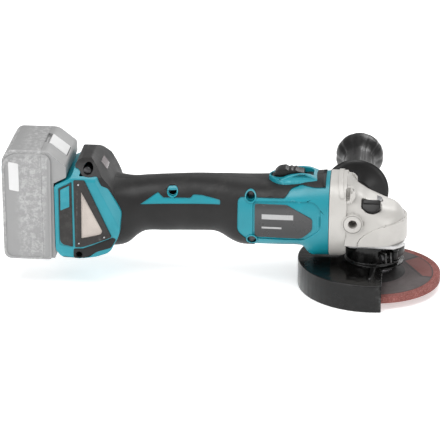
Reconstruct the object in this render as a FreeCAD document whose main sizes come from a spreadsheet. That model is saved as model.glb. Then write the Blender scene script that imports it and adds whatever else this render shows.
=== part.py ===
import FreeCAD, Part
import Sketcher
import math
import os
import re

# Cordless angle grinder for 125 mm discs. Millimetres, +Z up.
# Origin: on the spindle axis, at the face of the inner flange that the disc seats on.
# +X runs to the nose of the gear head, +Y to the side handle, -X to the battery.

SIZES = {
    # spindle stack
    "thread_radius": 7.0,
    "thread_tail": 17.0,
    "nose_radius": 6.35,
    "lock_zone_radius": 7.2,
    "journal_radius": 7.5,
    "journal_bottom": 10.5,
    "gear_top": 45.5,
    "lock_zone_top": 60.2,
    "top_journal_radius": 5.0,
    "spindle_top": 66.5,
    "run_gap": 0.04,
    "part_gap": 0.3,
    "seat_gap": 0.05,
    # disc, flange and nut
    "disc_radius": 62.5,
    "disc_bore": 11.115,
    "disc_thick": 6.0,
    "hub_drop": 4.5,
    "hub_flat": 20.0,
    "hub_cone": 30.0,
    "label_inner": 22.0,
    "label_outer": 56.0,
    "label_thick": 0.25,
    "flange_radius": 19.5,
    "flange_thick": 4.2,
    "pilot_depth": 3.0,
    "nut_radius": 17.0,
    "nut_thick": 6.0,
    # guard and its clamp
    "guard_gap": 6.0,
    "guard_wall": 1.8,
    "guard_plate_z": 6.9,
    "guard_skirt": 25.8,
    "guard_lip": 2.6,
    "guard_cut_x": 10.0,
    "band_wall": 1.6,
    "band_bottom": 12.4,
    "band_height": 14.8,
    "ear_angle": -63.0,
    # bearing box
    "neck_wall": 3.5,
    "neck_bottom": 5.0,
    "box_plate_z": 27.6,
    "box_plate_thick": 3.4,
    "box_half_x": 29.0,
    "box_half_y": 27.0,
    "box_screw_ring": 26.6,
    "spigot_radius": 23.2,
    "spigot_height": 4.0,
    "spindle_bearing_radius": 16.0,
    "spindle_bearing_width": 9.0,
    # bevel gears
    "gear_teeth": 37,
    "pinion_teeth": 11,
    "gear_pitch_radius": 20.0,
    "tooth_face": 6.6,
    "tooth_rise": 0.85,
    "tooth_root": 1.15,
    # gear housing
    "axis_height": 52.0,
    "head_radius": 30.2,
    "head_half_width": 31.6,
    "head_bottom": 31.0,
    "head_top": 91.0,
    "flange_rear_x": -39.0,
    "flange_front_x": -23.0,
    "flange_low": 12.5,
    "chamber_radius": 23.0,
    "handle_x": -18.0,
    "handle_z": 53.0,
    "handle_boss_radius": 10.5,
    "handle_boss_face": 33.2,
    "handle_bore": 4.0,
    "handle_bore_depth": 15.0,
    # shaft lock
    "lock_angle": 35.0,
    "lock_hole_z": 56.0,
    "lock_pin_radius": 2.2,
    "lock_travel": 4.5,
    "lock_cap_out": 18.5,
    "lock_cap_thick": 5.0,
    "lock_cap_half": 6.6,
    # rotor line
    "shaft_radius": 4.0,
    "shaft_nose_x": -26.0,
    "shaft_tail_x": -113.0,
    "front_bearing_x": -36.5,
    "rear_bearing_x": -112.0,
    "motor_bearing_radius": 11.0,
    "motor_bearing_width": 7.0,
    "fan_x": -55.0,
    "fan_width": 12.0,
    "fan_radius": 23.5,
    "fan_blades": 11,
    "baffle_x": -58.6,
    "stator_x": -99.0,
    "stator_length": 35.0,
    "stator_radius": 25.0,
    "rotor_radius": 12.6,
    "air_gap": 0.6,
    "coil_overhang": 4.0,
    # body skin stations from the head to the dock: place, centre, half height, half width
    "skin1_x": -39.4,
    "skin1_z": 51.6,
    "skin1_high": 39.4,
    "skin1_wide": 31.5,
    "skin2_x": -58.0,
    "skin2_z": 50.6,
    "skin2_high": 38.2,
    "skin2_wide": 31.8,
    "skin3_x": -82.0,
    "skin3_z": 52.8,
    "skin3_high": 34.4,
    "skin3_wide": 31.4,
    "skin4_x": -118.0,
    "skin4_z": 53.6,
    "skin4_high": 32.4,
    "skin4_wide": 30.2,
    "skin5_x": -142.0,
    "skin5_z": 57.6,
    "skin5_high": 27.2,
    "skin5_wide": 25.0,
    "skin6_x": -180.0,
    "skin6_z": 57.2,
    "skin6_high": 26.2,
    "skin6_wide": 22.6,
    "skin7_x": -212.0,
    "skin7_z": 55.4,
    "skin7_high": 26.4,
    "skin7_wide": 23.4,
    "skin8_x": -240.0,
    "skin8_z": 52.0,
    "skin8_high": 30.0,
    "skin8_wide": 31.0,
    "motor_wall": 2.8,
    "grip_wall": 2.4,
    "rubber": 1.8,
    "grip_front_x": -123.0,
    "grip_rear_x": -236.0,
    # dock
    "dock_half_width": 36.8,
    "dock_rear_x": -290.0,
    "dock_front_x": -232.0,
    "dock_low_z": 13.0,
    "dock_shoulder_z": 86.0,
    "dock_top_z": 104.5,
    "dock_wall": 3.0,
    "rail_half_width": 27.0,
    "rail_depth": 9.0,
    "rail_low_z": 30.0,
    "rail_high_z": 82.0,
    "cover_thick": 1.7,
    # slide switch
    "switch_x": -84.0,
    "switch_long": 18.0,
    "switch_half_width": 7.0,
    "switch_travel": 8.0,
    "switch_top_z": 95.0,
    "surround_top_z": 92.5,
    # battery
    "battery_rear_x": -335.0,
    "battery_front_x": -290.6,
    "battery_half_width": 37.3,
    "battery_low_z": 10.5,
    "battery_rise": 29.5,
    "battery_split_x": -299.0,
    "battery_wall": 2.2,
    "battery_lift": 68.0,
    "cell_length": 65.0,
    "latch_travel": 5.0,
    # side handle
    "grip_flange_y": 52.3,
    "grip_flange_radius": 30.4,
    "grip_radius": 15.5,
    "grip_neck_radius": 12.5,
    "grip_end_y": 150.0,
    "grip_knob_radius": 23.0,
    "grip_knob_half": 7.0,
}

# sizes that follow from others
GUARD = "(disc_radius + guard_gap)"
NECK = "(flange_radius + neck_wall)"
BATTERY_TOP = "(dock_shoulder_z + battery_rise)"
CELL_PITCH = f"(({BATTERY_TOP} - battery_low_z - 2 * battery_wall - 8.1) / 5)"
CELL_RADIUS = f"({CELL_PITCH} / 2 - 0.15)"

doc = FreeCAD.newDocument("CordlessAngleGrinder")
sheet = doc.addObject("Spreadsheet::Sheet", "Sizes")
for row, (alias, size) in enumerate(SIZES.items(), start=1):
    sheet.set(f"A{row}", alias)
    sheet.set(f"B{row}", str(size))
    sheet.setAlias(f"B{row}", alias)
doc.recompute()

Vector = FreeCAD.Vector
subparts = {}
TURN_TO = {
    "Z": FreeCAD.Rotation(),
    "X": FreeCAD.Rotation(Vector(0, 1, 0), 90),
    "Y": FreeCAD.Rotation(Vector(1, 0, 0), -90),
}


def link(expression):
    """Write every size's name in an expression as its cell in the sheet."""
    return re.sub(r"[a-z]\w*", lambda m: "Sizes." + m[0] if m[0] in SIZES else m[0], str(expression))


def size(expression):
    """The present value of an expression of sizes."""
    return float(sheet.evalExpression(link(expression)))


def bind(thing, **sizes):
    for name, expression in sizes.items():
        thing.setExpression(name, link(expression))


def seat(thing, x=0, y=0, z=0, along="Z"):
    """Turn a thing's own Z to an axis and bind its place."""
    thing.Placement = FreeCAD.Placement(Vector(), TURN_TO[along])
    for axis, expression in (("x", x), ("y", y), ("z", z)):
        thing.setExpression(f"Placement.Base.{axis}", link(expression))
    return thing


def part(label, thing):
    """Name a finished piece; its label is its node and its file."""
    thing.Label = label
    subparts[label] = thing
    return thing


def rod(radius, length, x=0, y=0, z=0, along="Z"):
    thing = doc.addObject("Part::Cylinder", "Rod")
    bind(thing, Radius=radius, Height=length)
    return seat(thing, x, y, z, along)


def block(x, y, z, long, wide, tall):
    thing = doc.addObject("Part::Box", "Block")
    bind(thing, Length=long, Width=wide, Height=tall)
    return seat(thing, x, y, z)


def fuse(*things):
    if len(things) == 1:
        return things[0]
    whole = doc.addObject("Part::MultiFuse", "Fuse")
    whole.Shapes = list(things)
    return whole


def cut(base, *tools):
    rest = doc.addObject("Part::Cut", "Cut")
    rest.Base = base
    rest.Tool = fuse(*tools)
    return rest


def common(first, second):
    shared = doc.addObject("Part::MultiCommon", "Common")
    shared.Shapes = [first, second]
    return shared


def outline_sketch(body, role, outline, offset=None):
    """A closed outline of straight lines whose corners are bound to the sheet."""
    sketch = body.newObject("Sketcher::SketchObject", "Outline")
    plane = next(f for f in body.Origin.OriginFeatures if f.Role == role)
    sketch.AttachmentSupport = (plane, [""])
    sketch.MapMode = "FlatFace"
    if offset is not None:
        sketch.setExpression("AttachmentOffset.Base.z", link(offset))
    corners = [Vector(size(u), size(v), 0) for u, v in outline]
    count = len(corners)
    for i in range(count):
        sketch.addGeometry(Part.LineSegment(corners[i], corners[(i + 1) % count]), False)
    for i in range(count):
        sketch.addConstraint(Sketcher.Constraint("Coincident", i, 2, (i + 1) % count, 1))
    for i, (u, v) in enumerate(outline):
        for kind, expression, now, axis in (
            ("DistanceX", u, corners[i].x, -2),
            ("DistanceY", v, corners[i].y, -1),
        ):
            if str(expression) == "0":
                sketch.addConstraint(Sketcher.Constraint("PointOnObject", i, 1, axis))
                continue
            number = sketch.addConstraint(Sketcher.Constraint(kind, -1, 1, i, 1, now))
            sketch.setExpression(f"Constraints[{number}]", link(expression))
    return sketch


def turned(outline, x=0, y=0, z=0, along="Z"):
    """A body turned about its own Z from (radius, height) corners."""
    body = doc.addObject("PartDesign::Body", "Turned")
    sketch = outline_sketch(body, "XZ_Plane", outline)
    turn = body.newObject("PartDesign::Revolution", "Turn")
    turn.Profile = sketch
    turn.ReferenceAxis = (sketch, ["V_Axis"])
    turn.Angle = 360
    return seat(body, x, y, z, along)


def padded(outline, role, offset, thick, symmetric=False):
    """A body padded from an outline on one of its origin planes."""
    body = doc.addObject("PartDesign::Body", "Padded")
    sketch = outline_sketch(body, role, outline, offset)
    pad = body.newObject("PartDesign::Pad", "Pad")
    pad.Profile = sketch
    bind(pad, Length=thick)
    if symmetric:
        pad.SideType = "Symmetric"
    return body


def side_plate(outline, y_near, thick):
    """A plate with an XZ outline that runs from y_near towards -Y."""
    return padded(outline, "XZ_Plane", f"-({y_near})", thick)


def side_slab(outline, full_width):
    """A slab with an XZ outline, centred on Y = 0."""
    return padded(outline, "XZ_Plane", "0", full_width, symmetric=True)


def around(count, start=0.0):
    """Evenly spaced angles round a circle, in degrees."""
    return [start + 360.0 * i / count for i in range(count)]


def polar(radius, degrees):
    """Expressions for a point at a radius and angle round Z."""
    return f"({radius}) * cos({degrees} deg)", f"({radius}) * sin({degrees} deg)"


# ---------------------------------------------------------------- spindle stack


def make_spindle():
    blank = turned([
        (0, "-thread_tail"),
        ("thread_radius - 1", "-thread_tail"),
        ("nose_radius", "1 - thread_tail"),
        ("nose_radius", "-disc_thick - nut_thick - seat_gap"),
        ("thread_radius", "-disc_thick - nut_thick - seat_gap"),
        ("thread_radius", "journal_bottom"),
        ("journal_radius", "journal_bottom"),
        ("journal_radius", "gear_top"),
        ("lock_zone_radius", "gear_top"),
        ("lock_zone_radius", "lock_zone_top"),
        ("top_journal_radius", "lock_zone_top"),
        ("top_journal_radius", "spindle_top"),
        (0, "spindle_top"),
    ])
    holes = []
    for degrees in around(4, -90):
        hole = rod("lock_pin_radius + part_gap + 0.1", "lock_travel + 6")
        lean = FreeCAD.Rotation(Vector(0, 0, 1), degrees)
        tilt = FreeCAD.Rotation(Vector(0, 1, 0), 90 - size("lock_angle"))
        hole.Placement = FreeCAD.Placement(Vector(), lean * tilt)
        x, y = polar("thread_radius - lock_travel * cos(lock_angle * 1 deg) + 0.6", degrees)
        bind(hole, **{
            "Placement.Base.x": x,
            "Placement.Base.y": y,
            "Placement.Base.z": "lock_hole_z - (lock_travel - 0.6) * sin(lock_angle * 1 deg)",
        })
        holes.append(hole)
    part("spindle", cut(blank, *holes))


def make_inner_flange():
    part("inner_flange", turned([
        ("thread_radius + seat_gap", "-pilot_depth"),
        ("disc_bore - seat_gap", "-pilot_depth"),
        ("disc_bore - seat_gap", 0),
        ("flange_radius", 0),
        ("flange_radius", "flange_thick - 1"),
        ("flange_radius - 1", "flange_thick"),
        ("thread_radius + 4", "flange_thick"),
        ("thread_radius + 3", "journal_bottom - part_gap"),
        ("thread_radius + seat_gap", "journal_bottom - part_gap"),
    ]))


def make_disc():
    part("grinding_disc", turned([
        ("disc_bore", "-disc_thick"),
        ("hub_flat - 2", "-disc_thick"),
        ("hub_cone - 2", "-disc_thick - hub_drop"),
        ("disc_radius", "-disc_thick - hub_drop"),
        ("disc_radius", "-hub_drop"),
        ("hub_cone", "-hub_drop"),
        ("hub_flat", 0),
        ("disc_bore", 0),
    ]))
    slope = "hub_drop / (hub_cone - hub_flat)"
    part("disc_label", turned([
        ("label_inner", f"-(label_inner - hub_flat) * {slope}"),
        ("hub_cone", "-hub_drop"),
        ("label_outer", "-hub_drop"),
        ("label_outer", "label_thick - hub_drop"),
        ("hub_cone", "label_thick - hub_drop"),
        ("label_inner", f"label_thick - (label_inner - hub_flat) * {slope}"),
    ]))


def make_lock_nut():
    blank = turned([
        ("thread_radius + seat_gap", "-disc_thick - nut_thick"),
        ("nut_radius - 3", "-disc_thick - nut_thick"),
        ("nut_radius - 2", "-disc_thick - nut_thick + 2"),
        ("nut_radius", "-disc_thick - nut_thick + 2.5"),
        ("nut_radius", "-disc_thick"),
        ("disc_bore - seat_gap", "-disc_thick"),
        ("disc_bore - seat_gap", "-disc_thick + 1.5"),
        ("thread_radius + seat_gap", "-disc_thick + 1.5"),
    ])
    pin_holes = []
    for degrees in around(4, 45):
        x, y = polar("thread_radius + 4", degrees)
        pin_holes.append(rod("2.2", "nut_thick - 1", x, y, "-disc_thick - nut_thick - 1"))
    part("lock_nut", cut(blank, *pin_holes))


def bevel_tooth(count, pitch_radius, mate_radius, degrees):
    """One straight tooth of a bevel wheel about Z, with the common apex at the origin
    and the wheel below it: a frustum that points at the apex."""
    cone = math.hypot(pitch_radius, mate_radius)
    slope = math.atan2(pitch_radius, mate_radius)
    inner = (cone - size("tooth_face")) / cone
    half_pitch = math.pi * pitch_radius / count / 2
    levels = [(-size("tooth_root") - 0.4, 1.02 * half_pitch), (size("tooth_rise"), 0.42 * half_pitch)]
    outward = Vector(math.sin(slope), 0, -math.cos(slope))
    upward = Vector(math.cos(slope), 0, math.sin(slope))
    ring = []
    for rise, half_width in levels:
        for side in (-1, 1):
            corner = outward * cone + upward * rise + Vector(0, side * half_width * 0.92, 0)
            ring.append(corner)
    order = [ring[0], ring[1], ring[3], ring[2]]
    wires = []
    for scale in (1.0, inner):
        corners = [corner * scale for corner in order]
        wires.append(Part.makePolygon(corners + corners[:1]))
    tooth = Part.makeLoft(wires, True, True)
    tooth.rotate(Vector(), Vector(0, 0, 1), degrees)
    return tooth


def bevel_blank(pitch_radius, mate_radius, tail):
    """The root cone of a bevel wheel about Z, with its apex at the origin."""
    cone = math.hypot(pitch_radius, mate_radius)
    slope = math.atan2(pitch_radius, mate_radius)
    inner = (cone - size("tooth_face")) / cone
    root = Vector(math.cos(slope), 0, math.sin(slope)) * -size("tooth_root")
    outer_root = Vector(math.sin(slope), 0, -math.cos(slope)) * cone + root
    inner_root = outer_root * inner
    corners = [
        Vector(0, 0, inner_root.z),
        inner_root,
        outer_root,
        Vector(outer_root.x, 0, outer_root.z - tail),
        Vector(0, 0, outer_root.z - tail),
    ]
    face = Part.Face(Part.makePolygon(corners + corners[:1]))
    return face.revolve(Vector(), Vector(0, 0, 1), 360)


def bevel_wheel(count, pitch_radius, mate_radius, tail, start):
    teeth = [bevel_tooth(count, pitch_radius, mate_radius, degrees) for degrees in around(count, start)]
    wheel = bevel_blank(pitch_radius, mate_radius, tail).multiFuse(teeth)
    return wheel.removeSplitter()


def make_bevel_gears():
    gear_radius = size("gear_pitch_radius")
    pinion_radius = gear_radius * size("pinion_teeth") / size("gear_teeth")
    apex = Vector(0, 0, size("axis_height"))

    wheel = bevel_wheel(int(size("gear_teeth")), gear_radius, pinion_radius, 4.0, 0.0)
    low = size("journal_bottom + spindle_bearing_width + part_gap") - apex.z
    hub = Part.makeCylinder(11.5, -9.0 - low, Vector(0, 0, low))
    bore = Part.makeCylinder(size("journal_radius"), 60, Vector(0, 0, -60))
    above = Part.makeCylinder(12.0, 20, Vector(0, 0, size("gear_top") - apex.z))
    gear = doc.addObject("Part::Feature", "BevelGear")
    gear.Shape = wheel.fuse(hub).cut(above).cut(bore).removeSplitter()
    gear.Placement = FreeCAD.Placement(apex, FreeCAD.Rotation())
    part("bevel_gear", gear)

    pinion = bevel_wheel(int(size("pinion_teeth")), pinion_radius, gear_radius, 2.0, 0.0)
    shank_top = pinion.BoundBox.ZMin
    shank_end = size("shaft_nose_x - 2.6")
    shank = Part.makeCylinder(5.6, shank_top - shank_end, Vector(0, 0, shank_end))
    socket = Part.makeCylinder(2.4, 10.6, Vector(0, 0, shank_end))
    small = doc.addObject("Part::Feature", "Pinion")
    small.Shape = pinion.fuse(shank).cut(socket).removeSplitter()
    # the wheel's own Z becomes +X, and its first tooth points down at the gear
    small.Placement = FreeCAD.Placement(apex, TURN_TO["X"])
    part("pinion", small)


# ---------------------------------------------------------------- gear head


def make_bearing_box():
    plate = block("-box_half_x", "-box_half_y", "box_plate_z",
                  "2 * box_half_x", "2 * box_half_y", "box_plate_thick")
    trimmed = common(plate, rod("box_half_x + 4.5", "60", 0, 0, "0"))
    turned_body = turned([
        ("flange_radius + 1", "neck_bottom"),
        (f"{NECK}", "neck_bottom"),
        (f"{NECK}", "box_plate_z + 1"),
        ("spigot_radius - seat_gap", "box_plate_z + 1"),
        ("spigot_radius - seat_gap", "head_bottom + spigot_height"),
        ("spindle_bearing_radius + 4", "head_bottom + spigot_height"),
        ("spindle_bearing_radius", "head_bottom + spigot_height - 3"),
        ("spindle_bearing_radius", "journal_bottom"),
        ("thread_radius + 4.2", "journal_bottom"),
        ("thread_radius + 5.2", "flange_thick + 2.5"),
        ("flange_radius + 1", "flange_thick + 2.5"),
    ])
    bore = rod("spindle_bearing_radius", "40", 0, 0, "journal_bottom")
    screw_holes = []
    for x, y in head_screw_places():
        screw_holes.append(rod("2.0", "60", x, y, "0"))
        screw_holes.append(rod("3.5", "2.6", x, y, "box_plate_z - 0.1"))
    part("bearing_box", cut(fuse(turned_body, cut(trimmed, bore)), *screw_holes))


def head_screw_places():
    return [polar("box_screw_ring", degrees) for degrees in around(4, 45)]


def make_bearing_box_screws():
    screws = []
    for x, y in head_screw_places():
        screws.append(rod("3.4", "2.4", x, y, "box_plate_z + 0.1"))
        screws.append(rod("1.9", "14", x, y, "box_plate_z + 0.1"))
    part("bearing_box_screws", fuse(*screws))


def make_spindle_bearings():
    part("spindle_bearing", turned([
        ("journal_radius + run_gap", "journal_bottom"),
        ("spindle_bearing_radius", "journal_bottom"),
        ("spindle_bearing_radius", "journal_bottom + spindle_bearing_width"),
        ("spindle_bearing_radius - 2.5", "journal_bottom + spindle_bearing_width"),
        ("spindle_bearing_radius - 2.8", "journal_bottom + spindle_bearing_width - 0.6"),
        ("journal_radius + 2.6", "journal_bottom + spindle_bearing_width - 0.6"),
        ("journal_radius + 2.3", "journal_bottom + spindle_bearing_width"),
        ("journal_radius + run_gap", "journal_bottom + spindle_bearing_width"),
    ]))
    part("needle_bearing", turned([
        ("top_journal_radius + run_gap", "lock_zone_top + part_gap"),
        ("top_journal_radius + 2.6", "lock_zone_top + part_gap"),
        ("top_journal_radius + 2.6", "spindle_top + part_gap"),
        ("top_journal_radius + run_gap", "spindle_top + part_gap"),
    ]))


def head_profile():
    """Side outline of the gear head: the tall flange block, the shoulder and the sloping top."""
    return [
        ("flange_rear_x", "flange_low"),
        ("flange_rear_x + 5", "flange_low"),
        ("flange_rear_x + 5", "head_bottom - 3"),
        ("flange_rear_x + 8", "head_bottom"),
        ("head_radius - 5", "head_bottom"),
        ("head_radius", "head_bottom + 7"),
        ("head_radius", "axis_height - 4"),
        ("head_radius - 5", "axis_height + 6"),
        ("flange_front_x + 22", "axis_height + 18"),
        ("flange_front_x + 7", "axis_height + 23"),
        ("flange_front_x", "head_top - 2"),
        ("flange_front_x - 6", "head_top"),
        ("flange_rear_x", "head_top - 1"),
    ]


def head_section():
    """Cross sections along X: the flange block with broad corners, the head with sloped shoulders."""
    flange = padded([
        ("12 - head_half_width", "flange_low"),
        ("head_half_width - 12", "flange_low"),
        ("head_half_width", "flange_low + 13"),
        ("head_half_width", "head_top - 14"),
        ("head_half_width - 13", "head_top"),
        ("13 - head_half_width", "head_top"),
        ("-head_half_width", "head_top - 14"),
        ("-head_half_width", "flange_low + 13"),
    ], "YZ_Plane", "flange_rear_x", "flange_front_x - flange_rear_x")
    head = padded([
        ("-head_half_width", "head_bottom"),
        ("head_half_width", "head_bottom"),
        ("head_half_width", "axis_height + 6"),
        ("head_half_width - 14", "axis_height + 24"),
        ("14 - head_half_width", "axis_height + 24"),
        ("-head_half_width", "axis_height + 6"),
    ], "YZ_Plane", "flange_front_x", "head_radius - flange_front_x")
    return fuse(flange, head)


def lock_line(radius, start, length):
    """A rod on the shaft lock's axis; start is measured outwards from the spindle's surface."""
    thing = rod(radius, length)
    lean = FreeCAD.Rotation(Vector(1, 0, 0), 90 - size("lock_angle"))
    thing.Placement = FreeCAD.Placement(Vector(), lean)
    bind(thing, **{
        "Placement.Base.y": f"-thread_radius - ({start}) * cos(lock_angle * 1 deg)",
        "Placement.Base.z": f"lock_hole_z + ({start}) * sin(lock_angle * 1 deg)",
    })
    return thing


def lock_block(half, start, thick, clearance=0):
    """The shield shaped cap, or its pocket, square to the shaft lock's axis."""
    body = padded([
        (f"-{half} - {clearance}", f"{half} + {clearance}"),
        (f"-{half} - {clearance}", f"-0.3 * {half} - {clearance}"),
        (0, f"-{half} - {clearance}"),
        (f"{half} + {clearance}", f"-0.3 * {half} - {clearance}"),
        (f"{half} + {clearance}", f"{half} + {clearance}"),
    ], "XY_Plane", start, thick)
    body.Placement = FreeCAD.Placement(Vector(), FreeCAD.Rotation(Vector(1, 0, 0), 90 - size("lock_angle")))
    bind(body, **{
        "Placement.Base.y": "-thread_radius",
        "Placement.Base.z": "lock_hole_z",
    })
    return body


def make_gear_housing():
    side = side_slab(head_profile(), "2 * head_half_width")
    nose = rod("head_radius", "120", 0, 0, "0")
    rear = block("flange_rear_x", "-head_half_width", "0", "-flange_rear_x", "2 * head_half_width", "120")
    shell = common(common(side, fuse(nose, rear)), head_section())
    bosses = [
        rod("handle_boss_radius", "2 * handle_boss_face", "handle_x", "-handle_boss_face", "handle_z", "Y"),
    ]
    hollow = [
        rod("spigot_radius", "spigot_height + 0.2", 0, 0, "head_bottom - 0.1"),
        rod("chamber_radius", "gear_top + 4 - head_bottom", 0, 0, "head_bottom"),
        rod("9", "17.5", "-gear_pitch_radius - 9.4", 0, "axis_height", "X"),
        rod("thread_radius + 1.2", "lock_zone_top - gear_top", 0, 0, "gear_top"),
        rod("top_journal_radius + 2.6", "spindle_top + part_gap - lock_zone_top", 0, 0, "lock_zone_top"),
        rod("motor_bearing_radius", "motor_bearing_width + 0.6",
            "front_bearing_x - 0.6", 0, "axis_height", "X"),
        rod("shaft_radius + 2", "24", "flange_rear_x - 1", 0, "axis_height", "X"),
        rod("handle_bore", "handle_bore_depth",
            "handle_x", "handle_boss_face - handle_bore_depth", "handle_z", "Y"),
        rod("handle_bore", "handle_bore_depth", "handle_x", "-handle_boss_face", "handle_z", "Y"),
        lock_line("lock_pin_radius + part_gap", "-1", "40"),
        lock_block("lock_cap_half", "lock_cap_out - lock_travel - 0.6", "30", "part_gap"),
        lock_line("4.4", "lock_cap_out - lock_travel - 6.6", "30"),
    ]
    for x, y in head_screw_places():
        hollow.append(rod("1.95", "12", x, y, "head_bottom - 0.1"))
    for y, z in flange_screw_places():
        hollow.append(rod("4.6", "40", "flange_rear_x + 6", y, z, "X"))
        hollow.append(rod("2.3", "60", "flange_rear_x - 1", y, z, "X"))
    part("gear_housing", cut(fuse(shell, *bosses), *hollow))


def flange_screw_places():
    across = "head_half_width - 7.2"
    return [(f"{side}({across})", z) for side in ("-", "") for z in ("flange_low + 7.5", "head_top - 9.5")]


def make_gear_housing_screws():
    screws = []
    for y, z in flange_screw_places():
        screws.append(rod("4.2", "4", "flange_rear_x + 6", y, z, "X"))
        screws.append(rod("2.15", "22", "flange_rear_x - 15.5", y, z, "X"))
    part("gear_housing_screws", fuse(*screws))


def make_shaft_lock():
    cap = lock_block("lock_cap_half", "lock_cap_out", "lock_cap_thick")
    neck = lock_line("lock_pin_radius", "lock_cap_out - 1", "1.5")
    part("shaft_lock_button", fuse(cap, neck))
    part("shaft_lock_pin", lock_line("lock_pin_radius", "2.2", "lock_cap_out - 3.2"))
    spring = cut(
        lock_line("4.0", "lock_cap_out - lock_travel - 6.3", "lock_travel + 5.8"),
        lock_line("3.0", "lock_cap_out - lock_travel - 7.3", "lock_travel + 9"),
    )
    part("shaft_lock_spring", spring)


# ---------------------------------------------------------------- guard


def make_wheel_guard():
    low = "guard_plate_z + guard_wall - guard_skirt"
    shell = turned([
        (f"{NECK} + part_gap", "guard_plate_z"),
        (f"{GUARD} - guard_wall", "guard_plate_z"),
        (f"{GUARD} - guard_wall", f"{low} + guard_wall"),
        (f"{GUARD} - guard_wall - guard_lip", f"{low} + guard_wall"),
        (f"{GUARD} - guard_wall - guard_lip", low),
        (f"{GUARD}", low),
        (f"{GUARD}", "guard_plate_z + guard_wall"),
        (f"{NECK} + part_gap + band_wall", "guard_plate_z + guard_wall"),
        (f"{NECK} + part_gap + band_wall", "band_bottom - part_gap"),
        (f"{NECK} + part_gap", "band_bottom - part_gap"),
    ])
    keep_side = block(f"-{GUARD} - 1", f"-{GUARD} - 1", "-60",
                      f"{GUARD} + 1 + guard_cut_x", f"2 * {GUARD} + 2", "120")
    collar = rod(f"{NECK} + 6", "120", 0, 0, "-60")
    part("wheel_guard", common(shell, fuse(keep_side, collar)))


def make_clamp_band():
    ring = turned([
        (f"{NECK} + part_gap", "band_bottom"),
        (f"{NECK} + part_gap + band_wall", "band_bottom"),
        (f"{NECK} + part_gap + band_wall", "band_bottom + band_height"),
        (f"{NECK} + part_gap", "band_bottom + band_height"),
    ])
    ears = []
    for y in ("-3.6", "1.6"):
        ears.append(block(f"{NECK} + 0.6", y, "band_bottom + 2", "9.6", "2", "band_height - 4"))
    lugs = []
    for z in ("band_bottom + 0.8", "band_bottom + band_height - 3"):
        lugs.append(lever_pivot("4.0", z, "2.2"))
    gap = block(f"{NECK} - 2", "-1.6", "band_bottom - 1", "20", "3.2", "band_height + 2")
    hole = rod("2.1", "20", f"{NECK} + 6.5", "-10", "band_bottom + band_height / 2", "Y")
    pin_hole = lever_pivot("1.5", "band_bottom - 2", "band_height + 4")
    part("guard_clamp_band", turn_to_ears(cut(fuse(ring, *ears, *lugs), gap, hole, pin_hole)))
    part("clamp_bolt", turn_to_ears(fuse(
        rod("2.0", "10.8", f"{NECK} + 6.5", "-6.2", "band_bottom + band_height / 2", "Y"),
        rod("3.6", "2.6", f"{NECK} + 6.5", "-6.3", "band_bottom + band_height / 2", "Y"),
    )))
    part("clamp_pin", turn_to_ears(fuse(
        lever_pivot("1.5", "band_bottom + 0.8", "band_height - 1.6"),
        lever_pivot("2.3", "band_bottom + band_height - 0.8", "0.7"),
    )))


def lever_pivot(radius, z, tall):
    """A rod on the lever's pivot, in the ears' own frame."""
    x, y = polar(f"{NECK} + 5.4", 18)
    return rod(radius, tall, x, y, z)


def turn_to_ears(thing):
    thing.Placement = FreeCAD.Placement(Vector(), FreeCAD.Rotation(Vector(0, 0, 1), size("ear_angle")))
    return thing


def make_clamp_lever():
    """The lever hugs the band from its pivot by the ears and swings outwards."""
    arc = turned([
        (f"{NECK} + 3.2", "band_bottom + 3.4"),
        (f"{NECK} + 6.2", "band_bottom + 3.4"),
        (f"{NECK} + 6.2", "band_bottom + band_height - 3.4"),
        (f"{NECK} + 3.2", "band_bottom + band_height - 3.4"),
    ])
    wedge = padded([
        (f"({NECK} + {reach}) * cos({degrees} deg)", f"({NECK} + {reach}) * sin({degrees} deg)")
        for reach, degrees in ((-3, 18), (22, 18), (22, 68), (-3, 68))
    ], "XY_Plane", "0", "60")
    barrel = lever_pivot("3.1", "band_bottom + 3.4", "band_height - 6.8")
    bore = lever_pivot("1.55", "band_bottom", "band_height")
    part("clamp_lever", turn_to_ears(cut(fuse(common(arc, wedge), barrel), bore)))


# ---------------------------------------------------------------- motor


def make_rotor():
    part("rotor_shaft", turned([
        (0, "shaft_tail_x"),
        ("shaft_radius", "shaft_tail_x"),
        ("shaft_radius", "shaft_nose_x - 2.8"),
        ("2.4 - seat_gap", "shaft_nose_x - 2.8"),
        ("2.4 - seat_gap", "shaft_nose_x + 7.6"),
        (0, "shaft_nose_x + 7.6"),
    ], z="axis_height", along="X"))
    part("rotor_core", turned([
        ("shaft_radius", "stator_x + 1"),
        ("rotor_radius", "stator_x + 1"),
        ("rotor_radius", "stator_x + stator_length - 1"),
        ("shaft_radius", "stator_x + stator_length - 1"),
    ], z="axis_height", along="X"))


def make_fan():
    disc = turned([
        ("shaft_radius", "fan_x"),
        ("fan_radius", "fan_x"),
        ("fan_radius", "fan_x + 1.6"),
        ("8", "fan_x + 1.6"),
        ("7", "fan_x + fan_width"),
        ("shaft_radius", "fan_x + fan_width"),
    ], z="axis_height", along="X")
    blades = []
    for degrees in around(int(size("fan_blades"))):
        blade = block("fan_x + 0.8", 0, 0, "fan_width - 2", "1.4", "fan_radius - 7")
        blade.Placement = FreeCAD.Placement(Vector(), FreeCAD.Rotation(Vector(1, 0, 0), degrees))
        bind(blade, **{
            "Placement.Base.x": "fan_x + 0.8",
            "Placement.Base.y": f"-6.8 * sin({degrees} deg)",
            "Placement.Base.z": f"axis_height + 6.8 * cos({degrees} deg)",
        })
        blades.append(blade)
    part("cooling_fan", fuse(disc, *blades))


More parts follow.
